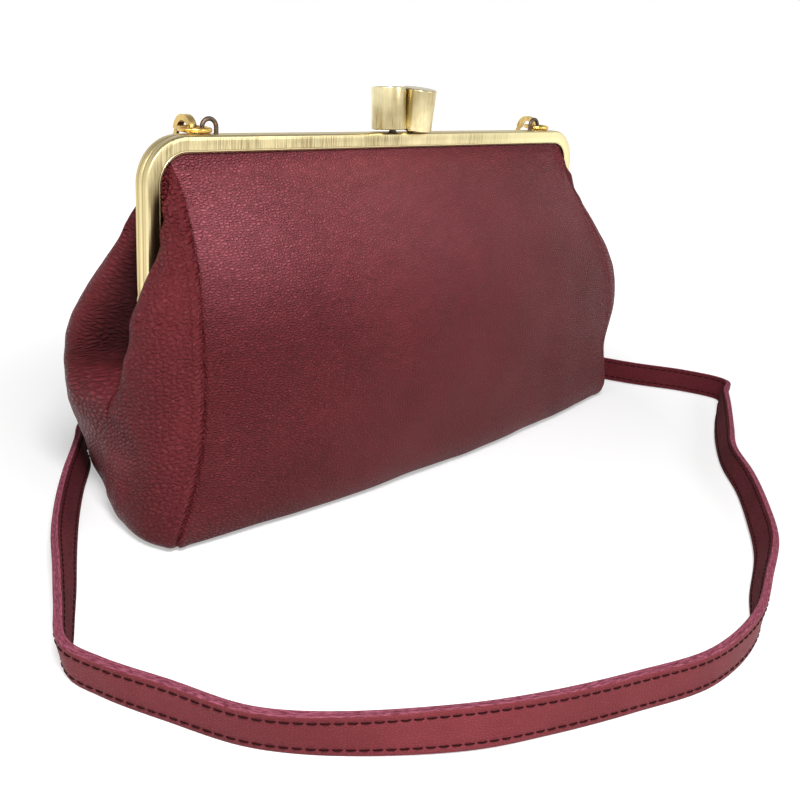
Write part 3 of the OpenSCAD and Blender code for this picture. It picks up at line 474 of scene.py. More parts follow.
# The frame: two brass channels pressed from sheet and bent to arches, plated in an
# antique tone, then brushed. Brushing runs up and down, so the streaks are upright.
brushed, given = new_group("brushed_metal", (("Place", "NodeSocketVector", None),), ("Streaks", "Patches"))
fine_place = vectors(brushed, "MULTIPLY", given["Place"], (2600, 1800, 75))
broad_place = vectors(brushed, "MULTIPLY", given["Place"], (260, 200, 22))
patch_map = cloudy(brushed, given["Place"], 55.0, 3.0)["Fac"]
both = maths(brushed, "MULTIPLY_ADD", cloudy(brushed, broad_place, 1.0, 3.0)["Fac"], 0.45, patch_map)
streaks = cloudy(brushed, fine_place, 1.0, 5.0, 0.7)["Fac"]
node(brushed, "NodeGroupOutput", {"Streaks": streaks, "Patches": ranged(brushed, both, 0.46, 0.85)})


def brass(name, pale, dark, rough, streak_and_reflection_bands=0.0):
    made, tree, shader = new_material(name, Metallic=1.0)
    where = node(tree, "ShaderNodeTexCoord").outputs["Object"]
    texture = node(tree, "ShaderNodeGroup", {"Place": where}, node_tree=brushed).outputs
    sharp = ranged(tree, texture["Streaks"], 0.35, 0.65)
    streaked = maths(tree, "MULTIPLY", sharp, texture["Patches"])
    # The broad patches can also paint upright dark and pale bands: brushed streaks, and painted reflection of the
    # studio with them.
    banded_streaks_and_reflections = maths(tree, "MULTIPLY", texture["Patches"], streak_and_reflection_bands)
    tone = tinted(tree, maths(tree, "MAXIMUM", streaked, banded_streaks_and_reflections), pale, dark)
    fine = bumped(tree, texture["Streaks"], 0.00003, 0.5)
    matt = ranged(tree, texture["Streaks"], 0.0, 1.0, rough, rough + 0.2)
    wire(tree, shader, Base_Color=tone, Roughness=matt, Normal=fine)
    return made, tree, shader, tone, fine


def dress(node_name, material):
    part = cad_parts[node_name]
    part.data.materials.clear()
    part.data.materials.append(material)


# Across the bar the colour is pale on the rounded outer edge and on the thin inner lip,
# and darker in between: worn plating, and painted highlight where those rounded edges
# catch the light. The distance is from the centre of the corners.
corner_x, corner_z, outer_reach, inner_reach, half_depth = 0.113, 0.120, 0.017, 0.0109, 0.0036
frame_brass, bar_tree, bar_shader, bar_tone, bar_fine = brass(
    "antique_brass", (0.80, 0.685, 0.39), (0.15, 0.10, 0.035), 0.25)
bar_where = node(bar_tree, "ShaderNodeTexCoord").outputs["Object"]
bar_at = node(bar_tree, "ShaderNodeSeparateXYZ", {"Vector": bar_where}).outputs
over_x = maths(bar_tree, "SUBTRACT", maths(bar_tree, "ABSOLUTE", bar_at["X"]), corner_x)
over_z = maths(bar_tree, "SUBTRACT", bar_at["Z"], corner_z)
from_corner = {"X": maths(bar_tree, "MAXIMUM", over_x, 0.0), "Y": maths(bar_tree, "MAXIMUM", over_z, 0.0)}
corner_way = node(bar_tree, "ShaderNodeCombineXYZ", from_corner).outputs[0]
bar_reach = node(bar_tree, "ShaderNodeVectorMath", {0: corner_way}, operation="LENGTH").outputs["Value"]
bar_share = ranged(bar_tree, bar_reach, outer_reach, inner_reach)
worn_and_highlight_stops = ((0.0, 1.0), (0.1, 0.9), (0.2, 0.15), (0.5, 0.0), (0.85, 0.1), (0.9, 1.0), (1.0, 1.0))
rise_stops = (
    (0.0, 0.0), (0.12, 0.62), (0.3, 0.9), (0.55, 1.0), (0.84, 0.86), (0.88, 0.72), (0.93, 0.95), (1.0, 0.5))
bar_worn_and_highlit, bar_rise = (
    ramped(bar_tree, bar_share, [(at, (value,) * 3) for at, value in stops]) for stops in (worn_and_highlight_stops, rise_stops))
bar_paint = tinted(bar_tree, bar_worn_and_highlit, bar_tone, (0.80, 0.69, 0.38))

# The arms' faces are browner inside, and the bar is painted palest towards its right end,
# as painted highlight. The channels' flanks show the fine lines of the rolled sheet.
arm_low = ranged(bar_tree, bar_at["Z"], 0.130, 0.116)
arm_inner = ranged(bar_tree, bar_share, 0.05, 0.5, 0.0, 0.85)
arm_paint = tinted(bar_tree, maths(bar_tree, "MULTIPLY", arm_low, arm_inner), bar_paint, (0.13, 0.08, 0.03))
# Painted highlight: the bar pales towards its right end.
bar_right_highlight = ranged(bar_tree, bar_at["X"], 0.02, 0.10, 0.0, 0.8)
bar_bright = tinted(bar_tree, bar_right_highlight, arm_paint, (1.0, 0.90, 0.50))
bar_normal = node(bar_tree, "ShaderNodeNewGeometry").outputs["Normal"]
bar_facing = node(bar_tree, "ShaderNodeSeparateXYZ", {"Vector": bar_normal}).outputs["Y"]
bar_flank = ranged(bar_tree, maths(bar_tree, "ABSOLUTE", bar_facing), 0.7, 0.2)
# Across each flank, the dark line where the two halves meet is painted shade in the gap between them.
bar_lines = ramped(bar_tree, ranged(bar_tree, maths(bar_tree, "ABSOLUTE", bar_at["Y"]), 0.0, half_depth), (
    (0.0, (0.10, 0.07, 0.02)), (0.08, (0.62, 0.48, 0.22)), (0.3, (0.66, 0.52, 0.25)), (0.4, (0.34, 0.25, 0.10)),
    (0.5, (0.70, 0.57, 0.30)), (0.85, (0.60, 0.48, 0.24)), (1.0, (0.85, 0.74, 0.44))))
bar_profile = {"Strength": 1.0, "Distance": 0.0008, "Height": bar_rise, "Normal": bar_fine}
wire(bar_tree, bar_shader, Base_Color=tinted(bar_tree, bar_flank, bar_bright, bar_lines),
     Normal=node(bar_tree, "ShaderNodeBump", bar_profile).outputs["Normal"])
dress("front_frame", frame_brass)
dress("rear_frame", frame_brass)

# The hinge rivets: one on each side, through the lugs of both halves' arms. They are
# plain brass with domed heads, darker where the plating has worn.
rivet_brass = brass("rivet_brass", (0.55, 0.43, 0.22), (0.18, 0.12, 0.05), 0.35)[0]
dress("hinge_rivet_left", rivet_brass)
dress("hinge_rivet_right", rivet_brass)

# The kiss lock: two turned brass cylinders that snap past each other. The left one
# stands on the front half and leans back, the right one stands on the rear half.
# The knobs' upright dark and pale bands are brushed streaks and also painted reflection.
knob_brass = brass("knob_brass", (0.97, 0.86, 0.52), (0.27, 0.19, 0.07), 0.15, streak_and_reflection_bands=0.7)[0]
stem_steel = brass("stem_steel", (0.10, 0.08, 0.06), (0.03, 0.025, 0.02), 0.4)[0]
knob_radius, knob_height, knob_edge, knob_lean = 0.0073, 0.0175, 0.0005, math.radians(5)
bar_top, stem_apart, stem_forward, knob_shift, stem_shows = 0.137, 0.0075, 0.0018, 0.0024, 0.00105
for knob_side, knob_body in ((-1, "front_half"), (1, "bag")):
    knob_bm = bmesh.new()
    bmesh.ops.create_circle(knob_bm, segments=96, radius=knob_radius, cap_ends=True)
    lifted = bmesh.ops.extrude_face_region(knob_bm, geom=knob_bm.faces[:])["geom"]
    lifted_verts = [v for v in lifted if isinstance(v, bmesh.types.BMVert)]
    bmesh.ops.translate(knob_bm, verts=lifted_verts, vec=(0, 0, knob_height))
    rims = [e for e in knob_bm.edges if abs(e.verts[0].co.z - e.verts[1].co.z) < 1e-6]
    bmesh.ops.bevel(knob_bm, geom=rims, offset=knob_edge, segments=4, profile=0.5, affect="EDGES", material=-1)
    bmesh.ops.recalc_face_normals(knob_bm, faces=knob_bm.faces)
    stem_foot = Matrix.Translation((knob_side * stem_apart, knob_side * stem_forward, bar_top))
    stem_lean = Matrix.Rotation(knob_lean * knob_side, 4, "X")
    stand = stem_foot @ stem_lean @ Matrix.Translation((0, -knob_side * knob_shift, stem_shows))
    bmesh.ops.transform(knob_bm, verts=knob_bm.verts, matrix=stand)
    knob_name = "front" if knob_side < 0 else "rear"
    knob = new_piece(knob_name + "_knob_turned", knob_bm, knob_brass)
    knob.data.set_sharp_from_angle(angle=math.radians(35))
    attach(knob, knob_body)
    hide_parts(knob_name + "_knob")
    dress(knob_name + "_knob_stem", stem_steel)

# The strap loops: staples of blackened steel wire. Their legs go through the rear
# half's top and are riveted over inside the channel.
loop_wire = brass("loop_wire", (0.16, 0.11, 0.08), (0.05, 0.035, 0.03), 0.35)[0]
dress("strap_loop_left", loop_wire)
dress("strap_loop_right", loop_wire)

# The rings and the snap hooks, their gates, pins and strap eyes: gilt, brighter
# than the frame.
ring_gilt = brass("ring_gilt", (0.86, 0.58, 0.16), (0.45, 0.26, 0.06), 0.14)[0]
hook_gilt = brass("hook_gilt", (0.80, 0.58, 0.22), (0.40, 0.26, 0.08), 0.2)[0]
for side in ("left", "right"):
    dress("ring_" + side, ring_gilt)
    for part in ("hook_", "gate_", "gate_pin_", "strap_eye_", "strap_rivet_"):
        dress(part + side, hook_gilt)

# The strap ends: a single layer turned round the eye and sewn back on itself, closed
# by the rivet. The fold's points are a distance out of the strap's plane and one along
# it, in millimetres from the eye.
hook_x, hook_y, hook_z, eye_drop = 0.10498, 0.008913, 0.1383, 0.0007 + 0.02824
single_thick, pressed_thick = 0.0015, 0.00146
fold_points = ((-0.75, 17), (-0.75, 11), (-0.75, 6), (-1.2, 3.2), (-1.85, 0.9), (-1.5, -1.1), (0, -1.87),
               (1.5, -1.1), (1.85, 0.9), (1.2, 3.2), (0.75, 6), (0.75, 11), (0.75, 17))
out_way = Vector((0, math.cos(strap_slope), math.sin(strap_slope)))
for side, name in ((-1, "left"), (1, "right")):
    hook_top = Vector((side * hook_x, hook_y, hook_z))
    fold_route = []
    for out_by, down_by in fold_points:
        spot = (hook_top + strap_down * (eye_drop + down_by / 1000) + out_way * (out_by / 1000)) * 1000
        fold_route.append((*spot, side, 0, 0))
    fold_frames = band_frames(fold_route, 4, strap_wide, single_thick, -strap_down, strap_down)
    fold_bm = sweep_band(fold_frames, band_section(strap_wide, pressed_thick, ()), 17)[0]
    fold = new_piece("strap_end_fold_" + name, fold_bm, strap_face, raw_edge)
    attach(fold, "bag")
    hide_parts("strap_end_" + name)


# The front panel: soft pebbled leather, pressed into the frame's channel along the
# top, full in the middle and turned in at its side seams. It rests on its lower edge,
# which has settled: the lower left has spread and the lower right has drawn in.
body_rows = [
    # height, seam's x, seam's depth, crown, rear corner's tuck
    (0.4, 134.5, 36.5, 7.0, 11.5), (1.3, 138.0, 39.4, 8.0, 12.0), (4.6, 140.0, 41.5, 9.0, 12.0),
    (12.0, 139.3, 42.5, 10.0, 10.0), (27.0, 135.0, 41.0, 11.5, 6.0), (36.0, 132.8, 39.7, 12.1, 3.8),
    (45.0, 131.0, 38.0, 12.5, 2.0), (52.5, 129.8, 36.4, 12.6, 0.8), (60.5, 128.5, 34.6, 12.5, 0.0),
    (68.5, 127.3, 32.5, 12.3, 0.0), (75.8, 126.0, 30.0, 12.0, 0.0), (83.9, 124.0, 27.0, 11.5, 0.0),
    (92.9, 121.8, 22.0, 11.0, 0.0), (101.9, 120.0, 16.5, 9.5, 0.0), (111.0, 119.0, 12.0, 7.5, 0.0),
    (117.9, 118.7, 8.8, 5.5, 0.0), (122.9, 119.0, 6.0, 3.8, 0.0), (127.0, 119.3, 2.9, 2.0, 0.0),
    (130.4, 119.0, 2.75, 0.1, 0.0), (133.3, 112.5, 2.75, 0.0, 0.0)]
last_row, mouth_row = 19, 17
row_of_hinge = 10 / last_row
row_of_mouth = mouth_row / last_row
rows_found = {}


def row_at(v):
    key = round(v, 7)
    if key not in rows_found:
        rows_found[key] = smooth_at(body_rows, v)
    return rows_found[key]


def ease(value, low, high):
    t = min(1.0, max(0.0, (value - low) / (high - low)))
    return t * t * (3 - 2 * t)


# How far, in millimetres, the lower left has spread, the lower right has drawn in, and
# the right side stands full.
def settle(x, y, z):
    spread, drawn_in, stands_full = 5.5, 9.0, 6.4
    left = -spread * max(0.0, 1 - z / 40) ** 2
    right = -drawn_in * ease(-z, -50, -28)
    share = min(1.0, max(0.0, (x + 140) / 280))
    full = stands_full * math.exp(-((z - 74) / 36) ** 2) * ease(-y, 6, 15) * ease(x, 70, 126)
    return x + ease(-y, -15, 20) * (left + (right - left) * share) + full


# Beside a seam both leathers are pulled in by the thread (pinch) and stand up next to
# it (lip). Towards the mouth both fade.
def pinch(distance, z):
    return 1.1 * math.exp(-(distance / 0.8) ** 2) * min(1.0, max(0.0, (127 - z) / 12))


def lip(distance, z):
    return math.exp(-((distance - 2.4) / 1.5) ** 2) * min(1.0, max(0.0, (127 - z) / 12))


def toward_edges(u):
    t = 2 * u - 1
    return 0.15 * t + 0.85 * math.copysign(1 - (1 - abs(t)) ** 2, t)


def panel_spot(s, v, rear):
    z, sx, sy, crown, tuck = row_at(v)
    sx -= tuck if rear else 0.0
    away = sx * (1 - abs(s))
    x = sx * s - math.copysign(pinch(away, z), s)
    y = sy + crown * (1 - abs(s) ** 2.2) - pinch(away, z) + 0.3 * lip(away, z)
    y *= 1 if rear else -1
    return Vector((settle(x, y, z), y, z)) / 1000


def wave(x, y, z, size):
    return noise.noise(Vector((x / size, y / size, z / size)))


def shifted(spot_at, u, v, amount, side):
    here = spot_at(u, v)
    du = spot_at(min(u + 0.003, 1), v) - spot_at(max(u - 0.003, 0), v)
    dv = spot_at(u, min(v + 0.003, 1)) - spot_at(u, max(v - 0.003, 0))
    away = du.cross(dv)
    away = away.normalized() * side if away.length > 1e-13 else Vector((0, 0, 0))
    return here + away * amount


# The panel's surface, in millimetres: a slow swell, puckers along the seams, pleats
# under the bar, and folds that fan out from the two upper corners.
def panel_wrinkles(s, v, rear):
    z, sx = row_at(v)[:2]
    x, turned = sx * s, 50 if rear else 0
    away = sx * (1 - abs(s))
    by_seam = math.exp(-(away / 11) ** 2)
    by_bar = math.exp(-((129 - z) / 8) ** 2)
    reach = math.hypot(119 - abs(x), 128 - z)
    corner = math.exp(-(reach / 20) ** 2) * min(1.0, reach / 4)
    fan = math.atan2(128 - z, 119 - abs(x) + 1e-6) * 5.0 + (11 if x > 0 else 0)
    amount = 0.7 * wave(x, turned, z, 42) + 0.35 * wave(x, 20 + turned, z, 18)
    amount += 0.55 * by_seam * min(1.0, away / 5) * wave(x * 0.22, 7 + turned, z, 4.6)
    amount += 0.9 * by_bar * wave(x * 0.8 + z * 0.9, 31 + turned, z * 0.3, 4.2)
    amount += 1.6 * corner * wave(fan, turned, reach / 26, 1.0)
    return amount * min(1.0, max(0.0, (130 - z) / 5)) * min(1.0, away / 1.5) / 1000


def panel_bm(rear, columns, rows, s_reach=1.0, v_span=(0.0, 1.0), sunk=0.0, hem=0.0):
    way = -1 if rear else 1

    def spots(u, v):
        return toward_edges(u) * s_reach, v_span[0] + (v_span[1] - v_span[0]) * v

    def place(u, v):
        def bare(a, b):
            return panel_spot(*spots(a, b), rear)

        s, w = spots(u, v)
        deeper = sunk + (hem if v > 0.93 else 0.0)
        return shifted(bare, u, v, panel_wrinkles(s, w, rear) - deeper, way)

    def unroll(u, v):
        s, w = spots(u, v)
        z, sx = row_at(w)[:2]
        x = sx * s
        long_way = x * (1 - 0.13 * (x / 130) ** 2)
        high_way = 1.08 * z - 0.2 * x * (1 - 0.5 * (x / 130) ** 2)
        return long_way / 1000, high_way / 1000

    # The grain is strongest beside the seams, most on the left, and weaker low down. The colour is painted lighter
    # over the upper part, most to the left, and near both upper corners, most the left one, as painted highlight,
    # and darker towards the bottom, as painted shade.
    def marks(u, v):
        s, w = spots(u, v)
        z, sx = row_at(w)[:2]
        x = sx * s
        side = ease(-sx * (1 - abs(s)), -95, -15) * (1.0 if s < 0 else 0.6)
        low = ease(-z, -60, -10)
        upper = 0.22 * ease(z, 60, 118) * (1 - 0.7 * ease(x, -70, 60))
        shoulder = 0.28 * math.exp(-((abs(x) - 108) / 30) ** 2 - ((z - 106) / 20) ** 2) * (1.0 if x < 0 else 0.4)
        return min(1.0, 0.42 + 0.58 * side) * (1 - 0.3 * low), 0.5 + upper + shoulder - 0.06 * low

    made = lay_grid(columns, rows, place, unroll, marks)
    if rear:
        bmesh.ops.reverse_faces(made, faces=made.faces)
    return made


def give_thickness(piece, thick):
    layer = piece.modifiers.new("thickness", "SOLIDIFY")
    layer.thickness = thick
    layer.offset = -1
    return piece


leather_thick, skived_thick = 0.001, 0.0008
# The panel's lit colour is its painted highlight, for the upper left.
panel_leather = leather(
    "panel_leather", (0.140, 0.0165, 0.0195), (0.180, 0.023, 0.027), (0.058, 0.006, 0.008), (0.44, 0.115, 0.14),
    long=0.0014, tall=0.00095, strong=(0.45, 1.1), depth=0.0009, rough=0.36, gloss=0.3)
front_skin = new_piece("front_panel_leather", panel_bm(rear=False, columns=170, rows=152), panel_leather)
front_panel = give_thickness(front_skin, leather_thick)
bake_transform(front_panel)
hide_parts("front_panel")

# The rear panel: the same leather and the same cut as the front one, pressed into the
# rear half's channel. It stays with that half when the bag opens.
rear_skin = new_piece("rear_panel_leather", panel_bm(rear=True, columns=120, rows=114), panel_leather)
rear_panel = give_thickness(rear_skin, leather_thick)
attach(rear_panel, "bag")
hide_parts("rear_panel")


# The gussets: one soft side piece each, sewn to both panels and folded inwards in the
# middle. Above the hinge it parts in two, one half in each arm's channel. The front
# half's upper fold moves with the front arm and slides down inside the lower part.
# Each row of points runs from the panel's seam to the middle fold or into the arm, and
# belongs to the row of body_rows with the same number.
into_arm = [(122.5, 4.6), (122.2, 2.57), (125.3, 2.57)]
by_mouth = [
    [(121.2, 7.4), (122.1, 6.4), (122.3, 5.7), (122.0, 5.1), (121.6, 4.5), (121.4, 2.57), (125.3, 2.57)],
    [(119.8, 5.4), (120.2, 5.0), (120.3, 4.8), (120.4, 4.6), (121.0, 4.4), (121.2, 2.57), (124.9, 2.57)],
    [(119.5, 2.8), (119.6, 2.75), (119.6, 2.7), (119.7, 2.65), (119.8, 2.6), (120.0, 2.57), (122.7, 2.57)]]
front_folds = [
    [(137, 34), (138.6, 28.5), (139, 21), (138.8, 14), (138, 9), (137.2, 4.5), (136.5, 0)],
    [(140.6, 36), (142.6, 30), (143, 22), (142.6, 15), (141.8, 9.5), (140.8, 4.5), (140, 0)],
    [(142.9, 37.4), (145.2, 30.4), (145.7, 22), (145.4, 15), (144.8, 9.5), (144, 4.5), (143.2, 0)],
    [(143, 37), (145.9, 30), (147, 22), (147, 15), (146.6, 9.5), (145.8, 4.5), (145, 0)],
    [(141, 35.5), (145.2, 28.5), (146.5, 21), (146.6, 14.5), (146.4, 9.5), (145.9, 4.5), (145.4, 0)],
    [(139.8, 33.5), (144.4, 26), (146, 19), (146.2, 13), (146, 8.5), (145.8, 4.5), (145.6, 0)],
    [(139, 30), (143.6, 22), (145.3, 15), (145.6, 10), (145.2, 6.5), (144.6, 3), (144.2, 0)],
    [(139.2, 27.5), (144.2, 19), (145.4, 13), (145, 9), (142, 6), (136.5, 3), (134.5, 0)],
    [(139.5, 25), (144.6, 15), (145, 10.5), (141, 7), (133, 5), (124, 3.5), (122, 0)],
    [(138, 23.5), (142.2, 15), (142.4, 10.5), (138.4, 6.8), (131, 4.9), (123.5, 3.4), (121.5, 0)],
    [(136.4, 21.5), (140.8, 14), (140.8, 10), (136.8, 6.5)] + into_arm,
    [(133.6, 19.5), (136.8, 13.2), (136.8, 9.5), (133, 6.5)] + into_arm,
    [(129.8, 16.5), (132.2, 11.8), (132.2, 8.7), (129.4, 6.3)] + into_arm,
    [(126, 13), (127.6, 10.4), (127.6, 7.8), (125.6, 5.9)] + into_arm,
    [(123.3, 9.7), (125, 7.9), (125.4, 6.6), (124.2, 5.5)] + into_arm] + by_mouth
rear_folds = [
    [(126, 33), (128, 27), (130.5, 19), (132.8, 12), (134.2, 8), (135.4, 4), (136.5, 0)],
    [(129, 35), (131.2, 28), (134, 20), (136.4, 13), (137.6, 9), (139, 4), (140, 0)],
    [(131, 37), (134, 29), (137, 20), (139.4, 13), (140.8, 9), (142.2, 4), (143.2, 0)],
    [(133, 38), (136.2, 30), (138.6, 21), (140.6, 14), (142.2, 9), (143.8, 4), (145, 0)],
    [(136, 37.4), (140.6, 30.6), (142.2, 22.6), (143, 15), (143.8, 10), (144.6, 5), (145.4, 0)],
    [(138, 36.4), (143, 30.5), (144.8, 23.5), (144.9, 16), (145.1, 10.5), (145.4, 5), (145.6, 0)],
    [(139, 35.5), (144.2, 30.5), (146.2, 24), (145, 18), (144.7, 12), (144.3, 6), (144.2, 0)],
    [(140, 33.5), (145.4, 29.5), (146.4, 24), (143, 18), (140, 12), (136, 5.5), (134.5, 0)],
    [(141.4, 31), (145.8, 27), (144.9, 21), (137.6, 16), (131, 10), (124, 4), (122, 0)],
    [(139.5, 30), (143.8, 26), (143.1, 20.5), (135.6, 15), (129.5, 10), (123.5, 4), (121.5, 0)],
    [(136.2, 28.2), (139.8, 24.4), (138.8, 18.8), (132.4, 12.5)] + into_arm,
    [(133, 25.4), (136, 21.6), (135, 16.6), (130.4, 11.5)] + into_arm,
    [(129.6, 20.8), (132.2, 17.6), (131.2, 13.6), (128.3, 9.8)] + into_arm,
    [(126.6, 16), (129.2, 13.8), (128.4, 11), (126.2, 8)] + into_arm,
    [(124, 12), (126.4, 10.4), (125.8, 8.4), (124, 6.4)] + into_arm] + by_mouth


def fold_row(row, fold, rear):
    z, sx, sy, crown, tuck = row
    points = [(sx - (tuck if rear else 0.0), sy)] + fold
    return [c for p in points for c in p] + [z]


fold_tables = {False: [fold_row(*pair, False) for pair in zip(body_rows, front_folds)],
               True: [fold_row(*pair, True) for pair in zip(body_rows, rear_folds)]}
folds_found = {}


def fold_at(v, rear):
    key = (round(v, 7), rear)
    if key not in folds_found:
        flat = smooth_at(fold_tables[rear], v * last_row / mouth_row)
        folds_found[key] = (list(zip(flat[0:16:2], flat[1:16:2])), flat[-1])
    return folds_found[key]


def gusset_spot(u, v, rear, side):
    points, z = fold_at(v, rear)
    x, y = smooth_at(points, u)
    away = math.hypot(x - points[0][0], y - points[0][1])
    x += 0.55 * lip(away, z) - pinch(away, z)
    if side > 0:
        roll_stands = 7.0
        x += roll_stands * min(1.0, away / 2.5) * math.exp(-((away - 4.5) / 4) ** 2 - ((z - 64) / 27) ** 2)
    y -= pinch(away, z)
    x, y = x * side, y * (1 if rear else -1)
    return Vector((settle(x, y, z), y, z)) / 1000


def gusset_wrinkles(u, v, rear, side):
    z = fold_at(v, rear)[1]
    x, y = u * 50, (60 if rear else 0) + side * 90
    amount = 1.0 * wave(x, y, z, 27) + (0.35 if rear else 0.7) * wave(x, y + 9, z, 12)
    amount += 0.3 * wave(x * 0.35, y + 31, z, 5)
    amount += 1.2 * ease(z, 96, 112) * wave(x * 0.5, y + 70, z, 4.5)
    amount += 0.8 * ease(z, 70, 92) * wave(x * 0.6 + z * 0.5, y + 20, z * 0.5, 5)
    tucked = ease(u, 0.45, 0.7) * ease(z, 40, 56) * ease(-z, -84, -66)
    amount += 0.7 * tucked * wave(x * 0.7, y + 50, z, 6)
    near_arm = ease(z, 66, 74) * ease(u, 0.5, 0.68)
    return amount * min(1.0, max(0.0, (126 - z) / 10)) * (1 - near_arm) * ease(u, 0.0, 0.14) / 1000


def fold_run(points, u):
    reach = u * (len(points) - 1)
    steps = zip(points, points[1:])
    return sum(math.dist(a, b) * min(1.0, max(0.0, reach - k)) for k, (a, b) in enumerate(steps))


def gusset_grid(columns, rows, v_span, rear, side, flap=0.0, rise=0.0):
    way = side * (-1 if rear else 1)

    def spots(a, b):
        return 0.3 * a + 0.7 * a * a, v_span[0] + (v_span[1] - v_span[0]) * b + rise * ease(b, 0.9, 1.0)

    def place(a, b):
        def bare(c, d):
            return gusset_spot(*spots(c, d), rear, side)

        u, v = spots(a, b)
        below = min(1.0, max(0.0, row_of_hinge + 0.004 - v) / 0.012) if flap else 0.0
        return shifted(bare, a, b, gusset_wrinkles(u, v, rear, side) - flap * below, way)

    def unroll(a, b):
        u, v = spots(a, b)
        points, z = fold_at(v, rear)
        long_way = fold_run(points, u)
        if rear:
            long_way = fold_run(fold_at(v, False)[0], 1.0) + 0.62 * (fold_run(points, 1.0) - long_way)
        return (long_way + 100 + 100 * side) / 1000, (1.08 * z + 0.25 * long_way) / 1000

    # The grain is strongest in the middle fold's hollow, where this also paints the creases darker as painted
    # shade, and towards the top. The colour is painted lighter low down towards the fold, as painted sheen, and in
    # a band at mid height towards the fold (rim), and darker deep in the fold between the lobes higher up, as
    # painted shade.
    def marks(a, b):
        u, v = spots(a, b)
        z = fold_at(v, rear)[1]
        hollow = ease(u, 0.35, 0.6) * ease(-z, -80, -60) * ease(z, 24, 42)
        painted_sheen = 0.25 * ease(u, 0.3, 0.7) * ease(-z, -44, -28)
        rim = 0.3 * ease(z, 34, 44) * ease(-z, -56, -46) * ease(u, 0.35, 0.6)
        tucked = ease(u, 0.34, 0.64) if rear else ease(u, 0.5, 0.75)
        deep = 0.5 * ease(z, 50, 62) * tucked * ease(-z, -112, -90)
        return 0.4 + 0.6 * hollow + 0.3 * ease(z, 80, 110) * (1 - hollow), 0.5 + rim + painted_sheen - deep

    made = lay_grid(columns, rows, place, unroll, marks)
    if way < 0:
        bmesh.ops.reverse_faces(made, faces=made.faces)
    return made


# The gusset's lit colour gives the painted sheen low on the fold and the lighter rim above it.
gusset_leather = leather(
    "gusset_leather", (0.105, 0.0110, 0.0140), (0.142, 0.017, 0.021), (0.045, 0.0045, 0.006), (0.24, 0.034, 0.046),
    long=0.0024, tall=0.0017, softness=0.45, strong=(0.15, 1.1), depth=0.001, rough=0.36, gloss=0.28)
flap_hangs, flap_sinks = 0.07, 0.0014
for side, name in ((-1, "left"), (1, "right")):
    lower = gusset_grid(72, 80, (0, row_of_hinge), True, side)
    join_meshes(lower, gusset_grid(72, 80, (0, row_of_hinge), False, side, rise=0.005))
    join_meshes(lower, gusset_grid(72, 56, (row_of_hinge, row_of_mouth), True, side))
    body = give_thickness(new_piece("gusset_" + name + "_side", lower, gusset_leather), leather_thick)
    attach(body, "bag")
    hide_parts("gusset_" + name + "_rear")
    upper = gusset_grid(72, 84, (row_of_hinge - flap_hangs, row_of_mouth), False, side, flap=flap_sinks)
    wing = give_thickness(new_piece("gusset_" + name + "_front_fold", upper, gusset_leather), skived_thick)
    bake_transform(wing)
    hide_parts("gusset_" + name + "_front")


# The bottom: one flat piece of the same leather, which the bag stands on. It is sewn
# to the panels and the gussets all round their foot.
foot_half_wide, foot_half_deep = 0.138, 0.042


def side_foot(rear, side):
    made = [gusset_spot(i / 24, 0, rear, side) for i in range(25)]
    return made[::-1] if rear == (side > 0) else made


def foot_ring(shrink):
    made = [panel_spot(s / 20, 0, False) for s in range(-20, 20)] + side_foot(False, 1) + side_foot(True, 1)
    made += [panel_spot(s / 20, 0, True) for s in range(20, -20, -1)] + side_foot(True, -1) + side_foot(False, -1)
    return [(p.x * (1 - shrink / foot_half_wide), p.y * (1 - shrink / foot_half_deep)) for p in made]


def foot_plate(name, material, shrink, low, high):
    bm = bmesh.new()
    verts = [bm.verts.new((x, y, low)) for x, y in foot_ring(shrink)]
    for a, b in zip(verts, verts[1:] + verts[:1]):
        if (a.co - b.co).length > 1e-6:
            bm.edges.new((a, b))
    bmesh.ops.remove_doubles(bm, verts=bm.verts, dist=2e-5)
    bmesh.ops.contextual_create(bm, geom=bm.edges)
    raised_part = bmesh.ops.extrude_face_region(bm, geom=bm.faces[:])["geom"]
    raised_verts = [v for v in raised_part if isinstance(v, bmesh.types.BMVert)]
    bmesh.ops.translate(bm, verts=raised_verts, vec=(0, 0, high - low))
    bmesh.ops.recalc_face_normals(bm, faces=bm.faces)
    made = new_piece(name, bm, material, smooth=False)
    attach(made, "bag")
    return made


# The base has no marks map, so its colour takes the leather's darkest tone, the painted shade, all over.
bottom = foot_plate("base_leather", gusset_leather, shrink=0.0, low=0.0003, high=0.0011)
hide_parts("base_panel")

# The boards: grey-brown fibre board that keeps the bottom flat and the walls full,
# glued to the back of the leather. The paper cords in the channels are alike.
board_fibre, board_tree, board_shader = new_material("fibre_board", Roughness=0.85)
board_where = node(board_tree, "ShaderNodeTexCoord")
board_noise = cloudy(board_tree, board_where.outputs["Object"], 900.0, 5.0)["Fac"]
board_tone = tinted(board_tree, board_noise, (0.30, 0.24, 0.15), (0.48, 0.40, 0.27))
wire(board_tree, board_shader, Base_Color=board_tone, Normal=bumped(board_tree, board_noise, 0.0002, 0.5))
dress("front_crimp_cord", board_fibre)
dress("rear_crimp_cord", board_fibre)
bottom_board = foot_plate("base_fibre_board", board_fibre, shrink=0.004, low=0.00115, high=0.00265)
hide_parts("base_board")
wall_board_thick = 0.0008
row_of_fold, row_of_wall_top = 2 / last_row, 8 / last_row
for rear, name in ((False, "front"), (True, "rear")):
    wall = panel_bm(rear, 48, 30, s_reach=0.9, v_span=(row_of_fold, row_of_wall_top), sunk=0.00125)
    wall_board = give_thickness(new_piece(name + "_fibre_board", wall, board_fibre), wall_board_thick)
    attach(wall_board, "bag")
    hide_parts(name + "_board")

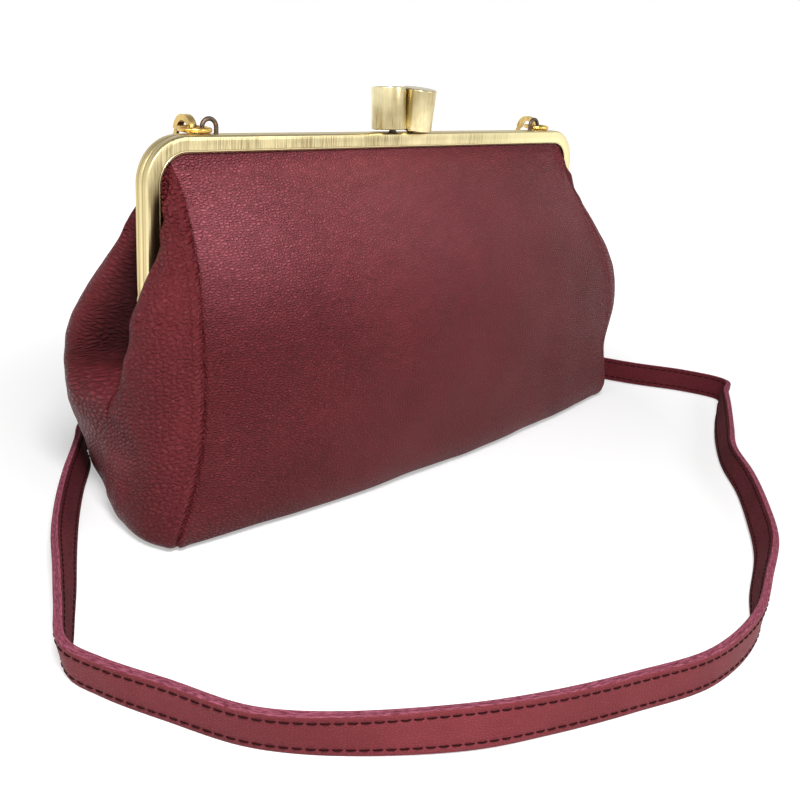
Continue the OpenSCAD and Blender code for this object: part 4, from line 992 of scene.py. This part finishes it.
# The lining: dark wine cotton twill, a closed sack below the hinge and two flaps that
# are caught in the channels with the leather. A slip pocket is sewn to the rear one.
twill, twill_tree, twill_shader = new_material("lining_twill", Roughness=0.8)
twill_where = node(twill_tree, "ShaderNodeUVMap", uv_map="spread").outputs[0]
twill_slant = {"Vector": twill_where, "Rotation": (0, 0, 0.7), "Scale": (1500, 1500, 1)}
twill_turn = node(twill_tree, "ShaderNodeMapping", twill_slant).outputs["Vector"]
twill_rows = {"Vector": twill_turn, "Scale": 0.6, "Distortion": 0.6, "Detail": 1.0}
twill_ribs = node(twill_tree, "ShaderNodeTexWave", twill_rows).outputs["Fac"]
twill_yarn = cloudy(twill_tree, twill_where, 700.0, 4.0)["Fac"]
twill_mix = maths(twill_tree, "MULTIPLY_ADD", twill_ribs, 0.6, twill_yarn)
twill_tone = tinted(twill_tree, twill_mix, (0.035, 0.008, 0.012), (0.11, 0.022, 0.032))
wire(twill_tree, twill_shader, Base_Color=twill_tone, Normal=bumped(twill_tree, twill_mix, 0.00015, 0.6))

lining_thick, pocket_thick, lining_inside, foot_height = 0.0005, 0.0006, 0.0025, 0.012
sack = panel_bm(False, 60, 40, v_span=(row_of_fold, row_of_hinge))
join_meshes(sack, panel_bm(True, 60, 40, v_span=(row_of_fold, row_of_hinge)))
for side in (-1, 1):
    for rear in (False, True):
        join_meshes(sack, gusset_grid(30, 40, (row_of_fold, row_of_hinge), rear, side), merge=1e-4)
bmesh.ops.recalc_face_normals(sack, faces=sack.faces)
sack.normal_update()
for vert, inward in [(v, v.normal.copy()) for v in sack.verts]:
    vert.co -= inward * lining_inside
foot_edges = [e for e in sack.edges if e.is_boundary and max(v.co.z for v in e.verts) < foot_height]
bmesh.ops.contextual_create(sack, geom=foot_edges)
lining = give_thickness(new_piece("lining_sack", sack, twill), lining_thick)
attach(lining, "bag")
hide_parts("lining_body")
for rear, name in ((False, "front"), (True, "rear")):
    flap = panel_bm(rear, 60, 48, s_reach=0.96, v_span=(row_of_hinge - 0.03, row_of_mouth), sunk=0.0013)
    top = give_thickness(new_piece("lining_" + name + "_flap", flap, twill), lining_thick)
    if rear:
        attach(top, "bag")
    else:
        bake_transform(top)
    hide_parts("lining_" + name + "_top")
pocket_span = (2.3 / last_row, row_of_wall_top)
pocket_bm = panel_bm(True, 40, 44, s_reach=0.45, v_span=pocket_span, sunk=0.0034, hem=0.0004)
pocket = give_thickness(new_piece("slip_pocket_cloth", pocket_bm, twill), pocket_thick)
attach(pocket, "bag")
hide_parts("slip_pocket")
